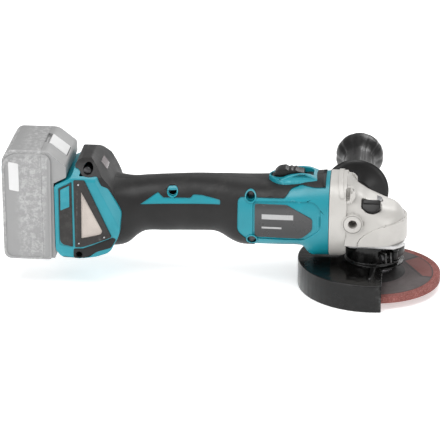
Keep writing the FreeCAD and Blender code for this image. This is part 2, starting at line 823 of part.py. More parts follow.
def motor_bearing(label, x):
    part(label, turned([
        ("shaft_radius + run_gap", x),
        ("motor_bearing_radius", x),
        ("motor_bearing_radius", f"{x} + motor_bearing_width"),
        ("motor_bearing_radius - 2", f"{x} + motor_bearing_width"),
        ("motor_bearing_radius - 2.3", f"{x} + motor_bearing_width - 0.5"),
        ("shaft_radius + 2.3", f"{x} + motor_bearing_width - 0.5"),
        ("shaft_radius + 2", f"{x} + motor_bearing_width"),
        ("shaft_radius + run_gap", f"{x} + motor_bearing_width"),
    ], z="axis_height", along="X"))


def make_stator():
    core = turned([
        ("rotor_radius + air_gap", "stator_x"),
        ("stator_radius", "stator_x"),
        ("stator_radius", "stator_x + stator_length"),
        ("rotor_radius + air_gap", "stator_x + stator_length"),
    ], z="axis_height", along="X")
    slots = []
    for degrees in around(6, 30):
        y = f"18.6 * sin({degrees} deg)"
        z = f"axis_height + 18.6 * cos({degrees} deg)"
        slots.append(rod("3.2", "stator_length + 2", "stator_x - 1", y, z, "X"))
    part("stator_core", cut(core, *slots))
    coils = []
    for degrees in around(6, 30):
        y = f"18.6 * sin({degrees} deg)"
        z = f"axis_height + 18.6 * cos({degrees} deg)"
        length = "stator_length + 2 * coil_overhang"
        coils.append(rod("3.1", length, "stator_x - coil_overhang", y, z, "X"))
    rings = []
    for x in ("stator_x - coil_overhang", "stator_x + stator_length + 0.3"):
        rings.append(turned([
            ("rotor_radius + air_gap + 1", x),
            ("stator_radius - 1.5", x),
            ("stator_radius - 1.5", f"{x} + coil_overhang - 0.3"),
            ("rotor_radius + air_gap + 1", f"{x} + coil_overhang - 0.3"),
        ], z="axis_height", along="X"))
    part("stator_coils", fuse(*coils, *rings))


def make_baffle():
    part("fan_baffle", turned([
        ("14", "baffle_x"),
        ("27", "baffle_x"),
        ("27", "baffle_x + 1.5"),
        ("16", "baffle_x + 1.5"),
        ("14", "baffle_x + 2.6"),
    ], z="axis_height", along="X"))


def make_rear_bearing_holder():
    part("rear_bearing_holder", turned([
        ("shaft_radius + 2", "rear_bearing_x - 3"),
        ("motor_bearing_radius + 2.5", "rear_bearing_x - 3"),
        ("motor_bearing_radius + 2.5", "rear_bearing_x + motor_bearing_width"),
        ("motor_bearing_radius", "rear_bearing_x + motor_bearing_width"),
        ("motor_bearing_radius", "rear_bearing_x - 0.5"),
        ("shaft_radius + 2", "rear_bearing_x - 0.5"),
    ], z="axis_height", along="X"))


# ---------------------------------------------------------------- motor housing, grip and dock


def skin(inset, first=1, last=8, overrun=0):
    """A loft through the oval stations, each shrunk by an inset."""
    ovals = []
    for number in range(first, last + 1):
        oval = doc.addObject("Part::Ellipse", "Oval")
        high = f"skin{number}_high - ({inset})"
        wide = f"skin{number}_wide - ({inset})"
        upright = size(high) >= size(wide)
        bind(oval, MajorRadius=high if upright else wide, MinorRadius=wide if upright else high)
        x = f"skin{number}_x"
        if number == first:
            x += f" + {overrun}"
        if number == last:
            x += f" - {overrun}"
        seat(oval, x, 0, f"skin{number}_z")
        face_x = FreeCAD.Rotation(Vector(0, 1, 0), 90)
        oval.Placement.Rotation = face_x if upright else face_x * FreeCAD.Rotation(Vector(0, 0, 1), 90)
        ovals.append(oval)
    loft = doc.addObject("Part::Loft", "Skin")
    loft.Sections = ovals
    loft.Solid = True
    return loft


def across(x_low, x_high):
    """A tall block that keeps one stretch of the body."""
    return block(x_low, "-80", "-40", f"({x_high}) - ({x_low})", "160", "240")


def half_space(side):
    """Everything on one side of the parting plane."""
    low = "0" if side > 0 else "-80"
    return block("-400", low, "-40", "500", "80", "240")


def dock_profile(grow=0):
    """Side outline of the dock: the indicator's slope at its front, the battery's shoulder behind."""
    g = grow
    return [
        (f"dock_rear_x - {g}", "dock_low_z + 6"),
        (f"dock_rear_x + 6", f"dock_low_z - {g}"),
        (f"dock_front_x - 24", f"dock_low_z - {g}"),
        (f"dock_front_x - 20 + {g}", f"dock_low_z + 7 - {g}"),
        (f"dock_front_x + {g}", "dock_low_z + 14"),
        (f"dock_front_x + {g}", "dock_shoulder_z - 8"),
        (f"dock_front_x - 9 + {g}", f"dock_shoulder_z + 3 + {g}"),
        (f"dock_front_x - 16 + {g}", f"dock_top_z - 3 + {g}"),
        ("dock_front_x - 22", f"dock_top_z + {g}"),
        ("dock_front_x - 32", f"dock_top_z + {g}"),
        (f"dock_front_x - 40 - {g}", f"dock_top_z - 4 + {g}"),
        (f"dock_front_x - 42 - {g}", f"dock_shoulder_z + 1 + {g}"),
        ("dock_rear_x + 4", f"dock_shoulder_z + {g}"),
        (f"dock_rear_x - {g}", "dock_shoulder_z - 5"),
    ]


def dock_room_profile():
    return [
        ("dock_rear_x + rail_depth", "dock_low_z + dock_wall"),
        ("dock_front_x - 26", "dock_low_z + dock_wall"),
        ("dock_front_x - dock_wall", "dock_low_z + 20"),
        ("dock_front_x - dock_wall", "dock_shoulder_z - 11"),
        ("dock_front_x - 13", "dock_shoulder_z"),
        ("dock_front_x - 23", "dock_top_z - dock_wall"),
        ("dock_front_x - 31", "dock_top_z - dock_wall"),
        ("dock_front_x - 38", "dock_top_z - 8"),
        ("dock_front_x - 38", "dock_shoulder_z - 6"),
        ("dock_rear_x + rail_depth", "dock_shoulder_z - 6"),
    ]


def cover_outline(inset=0):
    """The dust cover on the dock's side: a tall wedge."""
    i = inset
    return [
        (f"dock_rear_x + 19 + 0.8 * {i}", f"dock_low_z + 8 + {i}"),
        (f"dock_rear_x + 34 - {i}", f"dock_low_z + 14 + {i}"),
        (f"dock_rear_x + 56 - 2.2 * {i}", f"dock_low_z + 22 + {i}"),
        (f"dock_rear_x + 30 - 0.55 * {i}", f"dock_low_z + 76 - {i}"),
        (f"dock_rear_x + 19 + 0.8 * {i}", f"dock_low_z + 76 - {i}"),
    ]


def housing_solid():
    motor_skin = common(skin(0), across("grip_front_x", "skin1_x"))
    grip_core = common(skin("rubber"), across("skin8_x", "grip_front_x"))
    dock = side_slab(dock_profile(), "2 * dock_half_width")
    surround = block("switch_x - 12", "-switch_half_width - 5", "axis_height + 20",
                     "switch_long + switch_travel + 20", "2 * switch_half_width + 10",
                     "surround_top_z - axis_height - 20")
    bosses = [rod("5.4", "20", "skin1_x - 20", y, z, "X") for y, z in flange_screw_places()]
    solid = fuse(motor_skin, grip_core, dock, surround, *bosses)
    motor_room = common(skin("motor_wall", overrun=3), across("grip_front_x", "skin1_x + 9"))
    grip_room = common(skin("rubber + grip_wall", overrun=3), across("skin8_x - 4", "grip_front_x + 1"))
    dock_room = side_slab(dock_room_profile(), "2 * (dock_half_width - dock_wall)")
    rail_room = block("dock_rear_x - 1", "-rail_half_width - part_gap", "rail_low_z - part_gap",
                      "rail_depth + 1 + part_gap", "2 * (rail_half_width + part_gap)", "dock_top_z")
    switch_room = block("switch_x - 3", "-switch_half_width - part_gap", "axis_height + 18",
                        "switch_long + switch_travel + 6", "2 * (switch_half_width + part_gap)", "100")
    windows = []
    for side in (-1, 1):
        near = "0" if side < 0 else "dock_half_width + 5"
        windows.append(side_plate(cover_outline(5), near if side > 0 else "10 - dock_half_width", "20"))
    hollow = cut(solid, motor_room, grip_room, dock_room, rail_room, switch_room, *windows)
    posts = []
    for x, z, seat_y in housing_screw_places():
        posts.append(rod("3.6", "2 * dock_half_width", x, "-dock_half_width", z, "Y"))
        posts.append(rod("5.2", f"dock_half_width + {seat_y} + 2", x, "-dock_half_width", z, "Y"))
    flange_holes = [rod("2.2", "17", "skin1_x - 16.5", y, z, "X") for y, z in flange_screw_places()]
    return cut(fuse(hollow, common(fuse(*posts), solid)), *housing_screw_holes(), *flange_holes)


def make_housings(solid):
    for label, side in (("housing_left", -1), ("housing_right", 1)):
        part(label, common(solid, half_space(side)))


def make_overmoulds():
    outer = common(skin(0), across("grip_rear_x + 4.5", "grip_front_x"))
    layer = cut(outer, skin("rubber - seat_gap"),
                side_slab(dock_profile("seat_gap"), "2 * (dock_half_width + seat_gap)"))
    bored = cut(layer, *housing_screw_holes())
    for label, side in (("grip_overmould_left", -1), ("grip_overmould_right", 1)):
        part(label, common(bored, half_space(side)))


def make_covers():
    for label, mesh_label, side in (("dust_cover_left", "intake_mesh_left", -1),
                                    ("dust_cover_right", "intake_mesh_right", 1)):
        face = "-dock_half_width" if side < 0 else "dock_half_width + cover_thick"
        plate = side_plate(cover_outline(), face, "cover_thick")
        hole_from = f"({face}) + 1"
        hole = side_plate(cover_outline(6), hole_from, "cover_thick + 2")
        part(label, cut(plate, hole))
        inner_face = "2 - dock_half_width" if side < 0 else "dock_half_width - 0.4"
        mesh = side_plate(cover_outline(6.2), inner_face, "1.6")
        openings = []
        for row in range(9):
            for column in range(6):
                x = f"dock_rear_x + 27.5 + {column * 3.6}"
                z = f"dock_low_z + 22 + {row * 5.4}"
                openings.append(rod("1.1", "6", x, f"({inner_face}) - 3", z, "Y"))
        part(mesh_label, cut(mesh, *openings))


def housing_screw_places():
    """The screws that close the halves: X, Z and the Y of the head's seat."""
    return [
        ("-182", "axis_height + 20.5", "-15"),
        ("-110.5", "axis_height + 23.5", "-20"),
        ("-109.5", "axis_height - 18.5", "-23"),
        ("dock_rear_x + 32", "dock_top_z - 9", "-28"),
        ("dock_rear_x + 25", "dock_low_z + 5", "-28"),
    ]


def housing_screw_holes():
    holes = []
    for x, z, seat_y in housing_screw_places():
        holes.append(rod("3.8", "30", x, f"{seat_y} - 30", z, "Y"))
        holes.append(rod("2.0", f"2 - ({seat_y})", x, f"{seat_y} - 0.1", z, "Y"))
    return holes


def make_housing_screws():
    screws = []
    for x, z, seat_y in housing_screw_places():
        screws.append(rod("3.4", "2.6", x, f"{seat_y} - 2.65", z, "Y"))
        screws.append(rod("1.9", f"1.5 - ({seat_y})", x, f"{seat_y} - 0.05", z, "Y"))
    part("housing_screws", fuse(*screws))


def make_nameplates():
    outline = [
        ("-105", "axis_height - 16"),
        ("-64", "axis_height - 15"),
        ("-55", "axis_height - 6"),
        ("-55", "axis_height + 2"),
        ("-80", "axis_height + 15"),
        ("-105", "axis_height + 15"),
    ]
    for label, side in (("nameplate_left", -1), ("nameplate_right", 1)):
        band = side_slab(outline, "80")
        layer = cut(common(skin("-0.5"), band), skin("-0.05"))
        part(label, common(layer, half_space(side)))


def make_indicator():
    """A small pane on the slope between the dock's neck and its top."""
    foot = ("dock_front_x - 9", "dock_shoulder_z + 3")
    head = ("dock_front_x - 16", "dock_top_z - 3")
    outline = []
    for share, out in ((0.2, 0.05), (0.85, 0.05), (0.85, 1.1), (0.2, 1.1)):
        x = f"{foot[0]} + {share} * (({head[0]}) - ({foot[0]})) + {out * 0.87}"
        z = f"{foot[1]} + {share} * (({head[1]}) - ({foot[1]})) + {out * 0.49}"
        outline.append((x, z))
    part("indicator_window", side_slab(outline, "22"))


def make_electronics():
    part("controller", block("-276", "-24", "24", "26", "48", "4"))
    part("trigger_switch", block("-168", "-11", "46", "34", "22", "26"))
    part("terminal_block", cut(
        block("dock_rear_x + rail_depth + 2", "-20", "rail_low_z + 4", "7", "40", "34"),
        *[block("dock_rear_x + rail_depth + 1", y, "rail_low_z + 8", "5", "1.4", "26")
          for y in ("-16", "-5", "5", "15")],
    ))
    blades = [block("dock_rear_x + 3", f"{y} + 0.2", "rail_low_z + 9", "rail_depth + 3", "1", "20")
              for y in ("-16", "15")]
    part("terminal_blades", fuse(*blades))


# ---------------------------------------------------------------- slide switch


def make_slide_switch():
    knob = side_slab([
        ("switch_x", "surround_top_z - 4"),
        ("switch_x + switch_long", "surround_top_z - 4"),
        ("switch_x + switch_long", "surround_top_z + 0.5"),
        ("switch_x + switch_long - 3", "switch_top_z"),
        ("switch_x + switch_long - 7", "surround_top_z + 1"),
        ("switch_x + 7", "surround_top_z + 1"),
        ("switch_x + 3", "switch_top_z"),
        ("switch_x", "surround_top_z + 0.5"),
    ], "2 * switch_half_width")
    stem = block("switch_x + 4", "-switch_half_width", "surround_top_z - 11", "switch_long - 8",
                 "2 * switch_half_width", "8")
    part("slide_switch", fuse(knob, stem))
    part("switch_rod", block("switch_x - 38", "2", "surround_top_z - 12.9", "54", "5", "1.8"))


# ---------------------------------------------------------------- battery


def battery_profile(inset=0):
    i = inset
    return [
        (f"battery_rear_x + {i}", f"battery_low_z + 6 + {i}"),
        (f"battery_rear_x + 6 + {i}", f"battery_low_z + {i}"),
        (f"battery_front_x - {i}", f"battery_low_z + {i}"),
        (f"battery_front_x - {i}", f"dock_shoulder_z + 1.5 - {i}"),
        (f"battery_front_x + 8 - {i}", f"dock_shoulder_z + 4 + {i}"),
        (f"dock_front_x - 44.5 - {i}", f"dock_shoulder_z + 5 + {i}"),
        (f"dock_front_x - 44.5 - {i}", f"{BATTERY_TOP} - 14 - {i}"),
        (f"battery_front_x - 9 - {i}", f"{BATTERY_TOP} - {i}"),
        (f"battery_rear_x + 5 + {i}", f"{BATTERY_TOP} - {i}"),
        (f"battery_rear_x + {i}", f"{BATTERY_TOP} - 5 - {i}"),
    ]


def make_battery():
    shell = side_slab(battery_profile(), "2 * battery_half_width")
    room = side_slab(battery_profile("battery_wall"), "2 * (battery_half_width - battery_wall)")
    rail = block("battery_front_x - 3", "-rail_half_width", "rail_low_z", "rail_depth + 2.6",
                 "2 * rail_half_width", "rail_high_z - rail_low_z")
    slots = [block("battery_front_x", f"{y} - 0.8", "rail_low_z - 1", "rail_depth", "3", "40")
             for y in ("-16", "15")]
    button_room = side_slab(
        slope_outline("7 - latch_travel - part_gap", "20 + part_gap", "-1", "4.2"), "30.8")
    whole = cut(fuse(shell, rail), room, *slots, button_room)
    part("battery_case", common(whole, across("-400", "battery_split_x")))
    part("battery_lid", common(whole, across("battery_split_x", "0")))


def make_cells():
    cells = []
    first_z = f"battery_low_z + battery_wall + 0.5 + {CELL_RADIUS}"
    for x in (f"battery_rear_x + battery_wall + 1 + {CELL_RADIUS}",
              f"battery_rear_x + battery_wall + 1.4 + 3 * {CELL_RADIUS}"):
        for row in range(5):
            z = f"{first_z} + {row} * {CELL_PITCH}"
            cells.append(rod(CELL_RADIUS, "cell_length", x, "-cell_length / 2", z, "Y"))
    part("battery_cells", fuse(*cells))


def slope_outline(start, end, top, bottom):
    """An outline along the battery's front slope: from start to end in mm down the slope,
    between two depths square to it."""
    corners = []
    run_x = "(dock_front_x - battery_front_x - 35.5)"
    drop = "14"
    long = f"sqrt({run_x} * {run_x} + {drop} * {drop})"
    for along, deep in ((start, bottom), (end, bottom), (end, top), (start, top)):
        x = f"battery_front_x - 9 + (({along}) * {run_x} - ({deep}) * {drop}) / {long}"
        z = f"{BATTERY_TOP} - (({along}) * {drop} + ({deep}) * {run_x}) / {long}"
        corners.append((x, z))
    return corners


def make_release_button():
    part("battery_release_button", side_slab(slope_outline("7", "20", "0.4", "3.6"), "30"))


# ---------------------------------------------------------------- side handle


def make_side_handle():
    part("side_grip", turned([
        (0, "grip_flange_y + 12"),
        ("5", "grip_flange_y + 12"),
        ("5", "handle_boss_face + 1"),
        ("grip_neck_radius", "handle_boss_face + 1"),
        ("grip_neck_radius", "grip_flange_y - 5"),
        ("grip_flange_radius - 3", "grip_flange_y"),
        ("grip_flange_radius", "grip_flange_y + 2"),
        ("grip_flange_radius", "grip_flange_y + 4.5"),
        ("grip_radius", "grip_flange_y + 8"),
        ("grip_radius + 1.5", "grip_flange_y + 40"),
        ("grip_radius", "grip_end_y - 22"),
        ("grip_knob_radius", "grip_end_y - grip_knob_half"),
        ("grip_knob_radius", "grip_end_y + 3"),
        ("grip_knob_radius - 8", "grip_end_y + grip_knob_half"),
        (0, "grip_end_y + grip_knob_half"),
    ], x="handle_x", z="handle_z", along="Y"))
    part("side_handle_stud", turned([
        (0, "handle_boss_face - handle_bore_depth + 1"),
        ("handle_bore - seat_gap", "handle_boss_face - handle_bore_depth + 1"),
        ("handle_bore - seat_gap", "handle_boss_face + 1"),
        ("5", "handle_boss_face + 1"),
        ("5", "grip_flange_y + 12"),
        (0, "grip_flange_y + 12"),
    ], x="handle_x", z="handle_z", along="Y"))


def main():
    make_spindle()
    make_inner_flange()
    make_disc()
    make_lock_nut()
    make_bevel_gears()
    make_bearing_box()
    make_bearing_box_screws()
    make_spindle_bearings()
    make_gear_housing()
    make_gear_housing_screws()
    make_shaft_lock()
    make_wheel_guard()
    make_clamp_band()
    make_clamp_lever()
    make_rotor()
    make_fan()
    motor_bearing("front_bearing", "front_bearing_x")
    motor_bearing("rear_bearing", "rear_bearing_x")
    make_stator()
    make_baffle()
    make_rear_bearing_holder()
    make_housings(housing_solid())
    make_overmoulds()
    make_covers()
    make_housing_screws()
    make_nameplates()
    make_indicator()
    make_electronics()
    make_slide_switch()
    make_battery()
    make_cells()
    make_release_button()
    make_side_handle()
    doc.recompute()
    report_and_export()


def report_and_export():
    bad = [thing.Label for thing in doc.Objects if {"Invalid", "Error"} & set(thing.State)]
    for label, thing in subparts.items():
        if thing.Shape.isNull() or not thing.Shape.isValid() or not thing.Shape.Solids:
            bad.append(label)
    if bad:
        raise RuntimeError("pieces that failed: " + ", ".join(bad))
    os.makedirs("parts", exist_ok=True)
    for label, thing in subparts.items():
        thing.Shape.exportStep(f"parts/{label}.step")
        box = thing.Shape.BoundBox
        print(f"{label:24s} solids {len(thing.Shape.Solids):2d} volume {thing.Shape.Volume / 1000:8.2f} cm3 "
              f"x {box.XMin:7.1f} {box.XMax:7.1f} y {box.YMin:6.1f} {box.YMax:6.1f} z {box.ZMin:6.1f} {box.ZMax:6.1f}")


main()
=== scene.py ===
import bpy
import bmesh
import math
from mathutils import Matrix, Vector


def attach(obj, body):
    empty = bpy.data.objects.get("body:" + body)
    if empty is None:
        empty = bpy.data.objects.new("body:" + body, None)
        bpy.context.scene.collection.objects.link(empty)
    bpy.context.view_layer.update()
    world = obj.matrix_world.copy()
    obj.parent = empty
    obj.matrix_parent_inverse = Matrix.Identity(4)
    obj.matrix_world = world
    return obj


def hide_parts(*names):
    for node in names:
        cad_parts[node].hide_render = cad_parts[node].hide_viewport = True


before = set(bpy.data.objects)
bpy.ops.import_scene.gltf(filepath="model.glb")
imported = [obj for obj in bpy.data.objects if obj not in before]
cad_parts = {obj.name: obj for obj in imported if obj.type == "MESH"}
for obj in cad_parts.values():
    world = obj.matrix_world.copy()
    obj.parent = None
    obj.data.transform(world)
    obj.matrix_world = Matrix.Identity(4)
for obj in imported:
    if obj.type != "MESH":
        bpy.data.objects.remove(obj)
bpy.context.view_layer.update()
print("frame loaded", len(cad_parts), "nodes")

scene = bpy.context.scene
scene.view_settings.view_transform = "Standard"


# ---------- shape helpers, all in millimetres until finishPiece

def newObject(name, bm):
    mesh = bpy.data.meshes.new(name)
    bm.to_mesh(mesh)
    bm.free()
    piece = bpy.data.objects.new(name, mesh)
    scene.collection.objects.link(piece)
    return piece


def between(table, gap):
    # smooth stations through the table's rows
    last = len(table) - 1
    slopes = []
    for i in range(last + 1):
        a, b = table[max(i - 1, 0)], table[min(i + 1, last)]
        slopes.append([(q - p) / (b[0] - a[0]) for p, q in zip(a, b)])
    rows = []
    for i in range(last):
        span = table[i + 1][0] - table[i][0]
        count = max(1, round(abs(span) / gap))
        for k in range(count):
            t = k / count
            h = (2 * t**3 - 3 * t**2 + 1, t**3 - 2 * t**2 + t, 3 * t**2 - 2 * t**3, t**3 - t**2)
            rows.append([h[0] * p + h[1] * span * m + h[2] * q + h[3] * span * n
                         for p, q, m, n in zip(table[i], table[i + 1], slopes[i], slopes[i + 1])])
    rows.append(list(table[-1]))
    return rows


def loft(table, steps=80, grow=0.0, gap=3.0):
    bm = bmesh.new()
    turn = bm.verts.layers.float.new("turn")
    ring = bmesh.ops.create_circle(bm, segments=steps, radius=1)["verts"]
    for v in ring:
        v[turn] = math.atan2(v.co.y, v.co.x)
    rim = bm.edges[:]
    bmesh.ops.contextual_create(bm, geom=rim)
    for count, (x, mid, high, wide, power) in enumerate(between(table, gap)):
        if count:
            grown = bmesh.ops.extrude_edge_only(bm, edges=rim)["geom"]
            ring = [g for g in grown if isinstance(g, bmesh.types.BMVert)]
            known = set(ring)
            rim = [g for g in grown if isinstance(g, bmesh.types.BMEdge) and set(g.verts) <= known]
        for v in ring:
            c, s = math.cos(v[turn]), math.sin(v[turn])
            v.co.x = x
            v.co.y = (wide + grow) * math.copysign(abs(c) ** (2 / power), c)
            v.co.z = mid + (high + grow) * math.copysign(abs(s) ** (2 / power), s)
    bmesh.ops.contextual_create(bm, geom=rim)
    bmesh.ops.recalc_face_normals(bm, faces=bm.faces)
    return bm


def slab(outline, low, high, axis="Y", edge=0.0, steps=3, both=True):
    # an outline drawn as (across, up, corner radius) pushed from low to high
    turnTo = {"Y": lambda a, b, t: (a, t, b), "Z": lambda a, b, t: (a, b, t), "X": lambda a, b,
            t: (t, a, b)}[axis]
    low, high = min(low, high), max(low, high)
    push = Vector(turnTo(0, 0, high - low))
    bm = bmesh.new()
    verts = [bm.verts.new(turnTo(p[0], p[1], low)) for p in outline]
    face = bm.faces.new(verts)
    top = bmesh.ops.extrude_face_region(bm, geom=[face])["geom"]
    bmesh.ops.translate(bm, verts=[g for g in top if isinstance(g, bmesh.types.BMVert)], vec=push)
    bmesh.ops.recalc_face_normals(bm, faces=bm.faces)
    corners = {}
    for p, v in zip(outline, verts):
        if len(p) > 2 and p[2] > 0:
            upright = [e for e in v.link_edges if (e.other_vert(v).co - v.co).normalized().dot(push.normalized()) > 0.99]
            corners.setdefault(p[2], []).extend(upright)
    for radius, edges in corners.items():
        bmesh.ops.bevel(bm, geom=edges, offset=radius, segments=5, profile=0.5, affect="EDGES", material=-1,
                clamp_overlap=True)
    if edge:
        n = push.normalized()
        rims = [e for e in bm.edges if abs((e.verts[0].co - e.verts[1].co).dot(n)) < 1e-4
                and (both or min(v.co.dot(n) for v in e.verts) < low + 1e-3)]
        bmesh.ops.bevel(bm, geom=rims, offset=edge, segments=steps, profile=0.5, affect="EDGES", material=-1)
    return bm


def lathe(profile, steps=96, axis="Z", centre=(0, 0, 0)):
    # a closed or axis-to-axis outline of (radius, along) turned about an axis
    bm = bmesh.new()
    verts = [bm.verts.new((r, 0, t)) for r, t in profile]
    edges = [bm.edges.new(pair) for pair in zip(verts, verts[1:])]
    if profile[0][0] > 0 or profile[-1][0] > 0:
        edges.append(bm.edges.new((verts[-1], verts[0])))
    bmesh.ops.spin(bm, geom=verts + edges, cent=(0, 0, 0), axis=(0, 0, 1), angle=math.tau, steps=steps,
            use_merge=True)
    bmesh.ops.remove_doubles(bm, verts=bm.verts, dist=1e-4)
    bmesh.ops.recalc_face_normals(bm, faces=bm.faces)
    turned = {"Z": Matrix(), "X": Matrix.Rotation(math.pi / 2, 4, "Y"), "Y": Matrix.Rotation(-math.pi / 2, 4,
            "X")}[axis]
    bmesh.ops.transform(bm, matrix=Matrix.Translation(centre) @ turned, verts=bm.verts)
    return bm


def rod(radius, start, length, axis="Y", steps=32):
    x, y, z = start
    return lathe([(0, 0), (radius, 0), (radius, length), (0, length)], steps, axis, (x, y, z))


def mirrored(bm):
    # the same shape on the other side of the middle plane
    copy = bm.copy()
    bmesh.ops.scale(copy, vec=(1, -1, 1), verts=copy.verts)
    bmesh.ops.reverse_faces(copy, faces=copy.faces)
    return copy


def carve(piece, tools, how="DIFFERENCE"):
    for bm in tools:
        tool = newObject("tool", bm)
        step = piece.modifiers.new("carve", "BOOLEAN")
        step.operation = how
        step.solver = "EXACT"
        step.object = tool
        bpy.context.view_layer.update()
        cut = bpy.data.meshes.new_from_object(piece.evaluated_get(bpy.context.evaluated_depsgraph_get()))
        piece.modifiers.clear()
        piece.data = cut
        bpy.data.objects.remove(tool)
    return piece


def tidy(piece, dist=0.02):
    bm = bmesh.new()
    bm.from_mesh(piece.data)
    bmesh.ops.remove_doubles(bm, verts=bm.verts, dist=dist)
    bmesh.ops.dissolve_degenerate(bm, edges=bm.edges, dist=dist)
    bmesh.ops.recalc_face_normals(bm, faces=bm.faces)
    bm.to_mesh(piece.data)
    bm.free()
    return piece


def half(piece, side):
    # keeps the half on one side of the parting plane, closed
    away = slab([(-420, -60), (120, -60), (120, 160), (-420, 160)], 0.06 * side, -90 * side)
    return carve(piece, [away])


def finishPiece(piece, mat, body, nodes=(), edge=0.0, segments=2, limit=32, sharp=38):
    tidy(piece)
    piece.data.transform(Matrix.Scale(0.001, 4))
    piece.data.materials.clear()
    piece.data.materials.append(mat)
    piece.data.shade_smooth()
    if edge:
        bev = piece.modifiers.new("edges", "BEVEL")
        bev.width = edge * 0.001
        bev.segments = segments
        bev.limit_method = "ANGLE"
        bev.angle_limit = math.radians(limit)
        bev.harden_normals = True
        bev.use_clamp_overlap = edge >= 0.9
        bev.miter_outer = "MITER_ARC"
    else:
        piece.data.set_sharp_from_angle(angle=math.radians(sharp))
    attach(piece, body)
    if nodes:
        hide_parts(*nodes)
    return piece


def copyNode(name, newName):
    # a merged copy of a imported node, back in millimetres
    bm = bmesh.new()
    bm.from_mesh(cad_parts[name].data)
    bmesh.ops.remove_doubles(bm, verts=bm.verts, dist=1e-6)
    bmesh.ops.scale(bm, vec=(1000, 1000, 1000), verts=bm.verts)
    return newObject(newName, bm)


# ---------- material helpers

def nodeGroup(name, inputs, outputs):
    tree = bpy.data.node_groups.new(name, "ShaderNodeTree")
    for label, kind, value in inputs:
        tree.interface.new_socket(label, in_out="INPUT", socket_type=kind).default_value = value
    for label, kind in outputs:
        tree.interface.new_socket(label, in_out="OUTPUT", socket_type=kind)
    return tree


def mathNode(tree, op, a, b=None, c=None):
    n = tree.nodes.new("ShaderNodeMath")
    n.operation = op
    for i, value in enumerate((a, b, c)):
        if value is None:
            continue
        if isinstance(value, (int, float)):
            n.inputs[i].default_value = value
        else:
            tree.links.new(value, n.inputs[i])
    return n.outputs[0]


def noiseNode(tree, vector, scale, detail=4.0, rough=0.55):
    n = tree.nodes.new("ShaderNodeTexNoise")
    n.inputs["Scale"].default_value = scale
    n.inputs["Detail"].default_value = detail
    n.inputs["Roughness"].default_value = rough
    tree.links.new(vector, n.inputs["Vector"])
    return n.outputs[0]


def ramp(tree, value, low, high, toLow=0.0, toHigh=1.0):
    n = tree.nodes.new("ShaderNodeMapRange")
    n.interpolation_type = "SMOOTHSTEP"
    tree.links.new(value, n.inputs[0])
    for i, x in enumerate((low, high, toLow, toHigh)):
        n.inputs[i + 1].default_value = x
    return n.outputs[0]


def mixColour(tree, mask, a, b):
    n = tree.nodes.new("ShaderNodeMix")
    n.data_type = "RGBA"
    if isinstance(mask, (int, float)):
        n.inputs[0].default_value = mask
    else:
        tree.links.new(mask, n.inputs[0])
    for i, value in ((6, a), (7, b)):
        if isinstance(value, tuple):
            n.inputs[i].default_value = (*value, 1)
        else:
            tree.links.new(value, n.inputs[i])
    return n.outputs[2]


# moulded grain: fine pebbles over a broad unevenness, as a height
grainGroup = nodeGroup("mouldedGrain", [("Vector", "NodeSocketVector", (0, 0, 0)),
        ("Scale", "NodeSocketFloat", 900.0)],
                       [("Height", "NodeSocketFloat"), ("Mottle", "NodeSocketFloat")])
gIn = grainGroup.nodes.new("NodeGroupInput")
gOut = grainGroup.nodes.new("NodeGroupOutput")
cells = grainGroup.nodes.new("ShaderNodeTexVoronoi")
cells.feature = "SMOOTH_F1"
grainGroup.links.new(gIn.outputs[0], cells.inputs["Vector"])
grainGroup.links.new(gIn.outputs[1], cells.inputs["Scale"])
fine = grainGroup.nodes.new("ShaderNodeTexNoise")
fine.inputs["Detail"].default_value = 5
grainGroup.links.new(gIn.outputs[0], fine.inputs["Vector"])
grainGroup.links.new(mathNode(grainGroup, "MULTIPLY", gIn.outputs[1], 1.7), fine.inputs["Scale"])
broad = noiseNode(grainGroup, gIn.outputs[0], 38, 5)
height = mathNode(grainGroup, "ADD", mathNode(grainGroup, "MULTIPLY", cells.outputs[0], 0.6), fine.outputs[0])
grainGroup.links.new(mathNode(grainGroup, "ADD", height, mathNode(grainGroup, "MULTIPLY", broad, 0.5)),
        gOut.inputs[0])
grainGroup.links.new(ramp(grainGroup, broad, 0.32, 0.68), gOut.inputs[1])

# rubbed edges: where the surface turns sharply outwards, broken up by noise
rubGroup = nodeGroup("rubbedEdges", [("Vector", "NodeSocketVector", (0, 0, 0))],
        [("Mask", "NodeSocketFloat")])
rIn = rubGroup.nodes.new("NodeGroupInput")
rOut = rubGroup.nodes.new("NodeGroupOutput")
geo = rubGroup.nodes.new("ShaderNodeNewGeometry")
sharpness = ramp(rubGroup, geo.outputs["Pointiness"], 0.52, 0.62)
broken = ramp(rubGroup, noiseNode(rubGroup, rIn.outputs[0], 260, 6, 0.7), 0.42, 0.66)
rubGroup.links.new(mathNode(rubGroup, "MULTIPLY", sharpness, broken), rOut.inputs[0])

# settled dust: thin, patchy, only on faces that look up
dustGroup = nodeGroup("settledDust", [("Vector", "NodeSocketVector", (0, 0, 0))],
        [("Mask", "NodeSocketFloat")])
dIn = dustGroup.nodes.new("NodeGroupInput")
dOut = dustGroup.nodes.new("NodeGroupOutput")
geo2 = dustGroup.nodes.new("ShaderNodeNewGeometry")
up = dustGroup.nodes.new("ShaderNodeSeparateXYZ")
dustGroup.links.new(geo2.outputs["Normal"], up.inputs[0])
facing = ramp(dustGroup, up.outputs[2], 0.2, 1.0)
patchy = ramp(dustGroup, noiseNode(dustGroup, dIn.outputs[0], 70, 8, 0.7), 0.45, 0.75)
dustGroup.links.new(mathNode(dustGroup, "MULTIPLY", facing, patchy), dOut.inputs[0])


def useGroup(tree, group, vector, **values):
    n = tree.nodes.new("ShaderNodeGroup")
    n.node_tree = group
    tree.links.new(vector, n.inputs["Vector"])
    for label, value in values.items():
        n.inputs[label].default_value = value
    return n


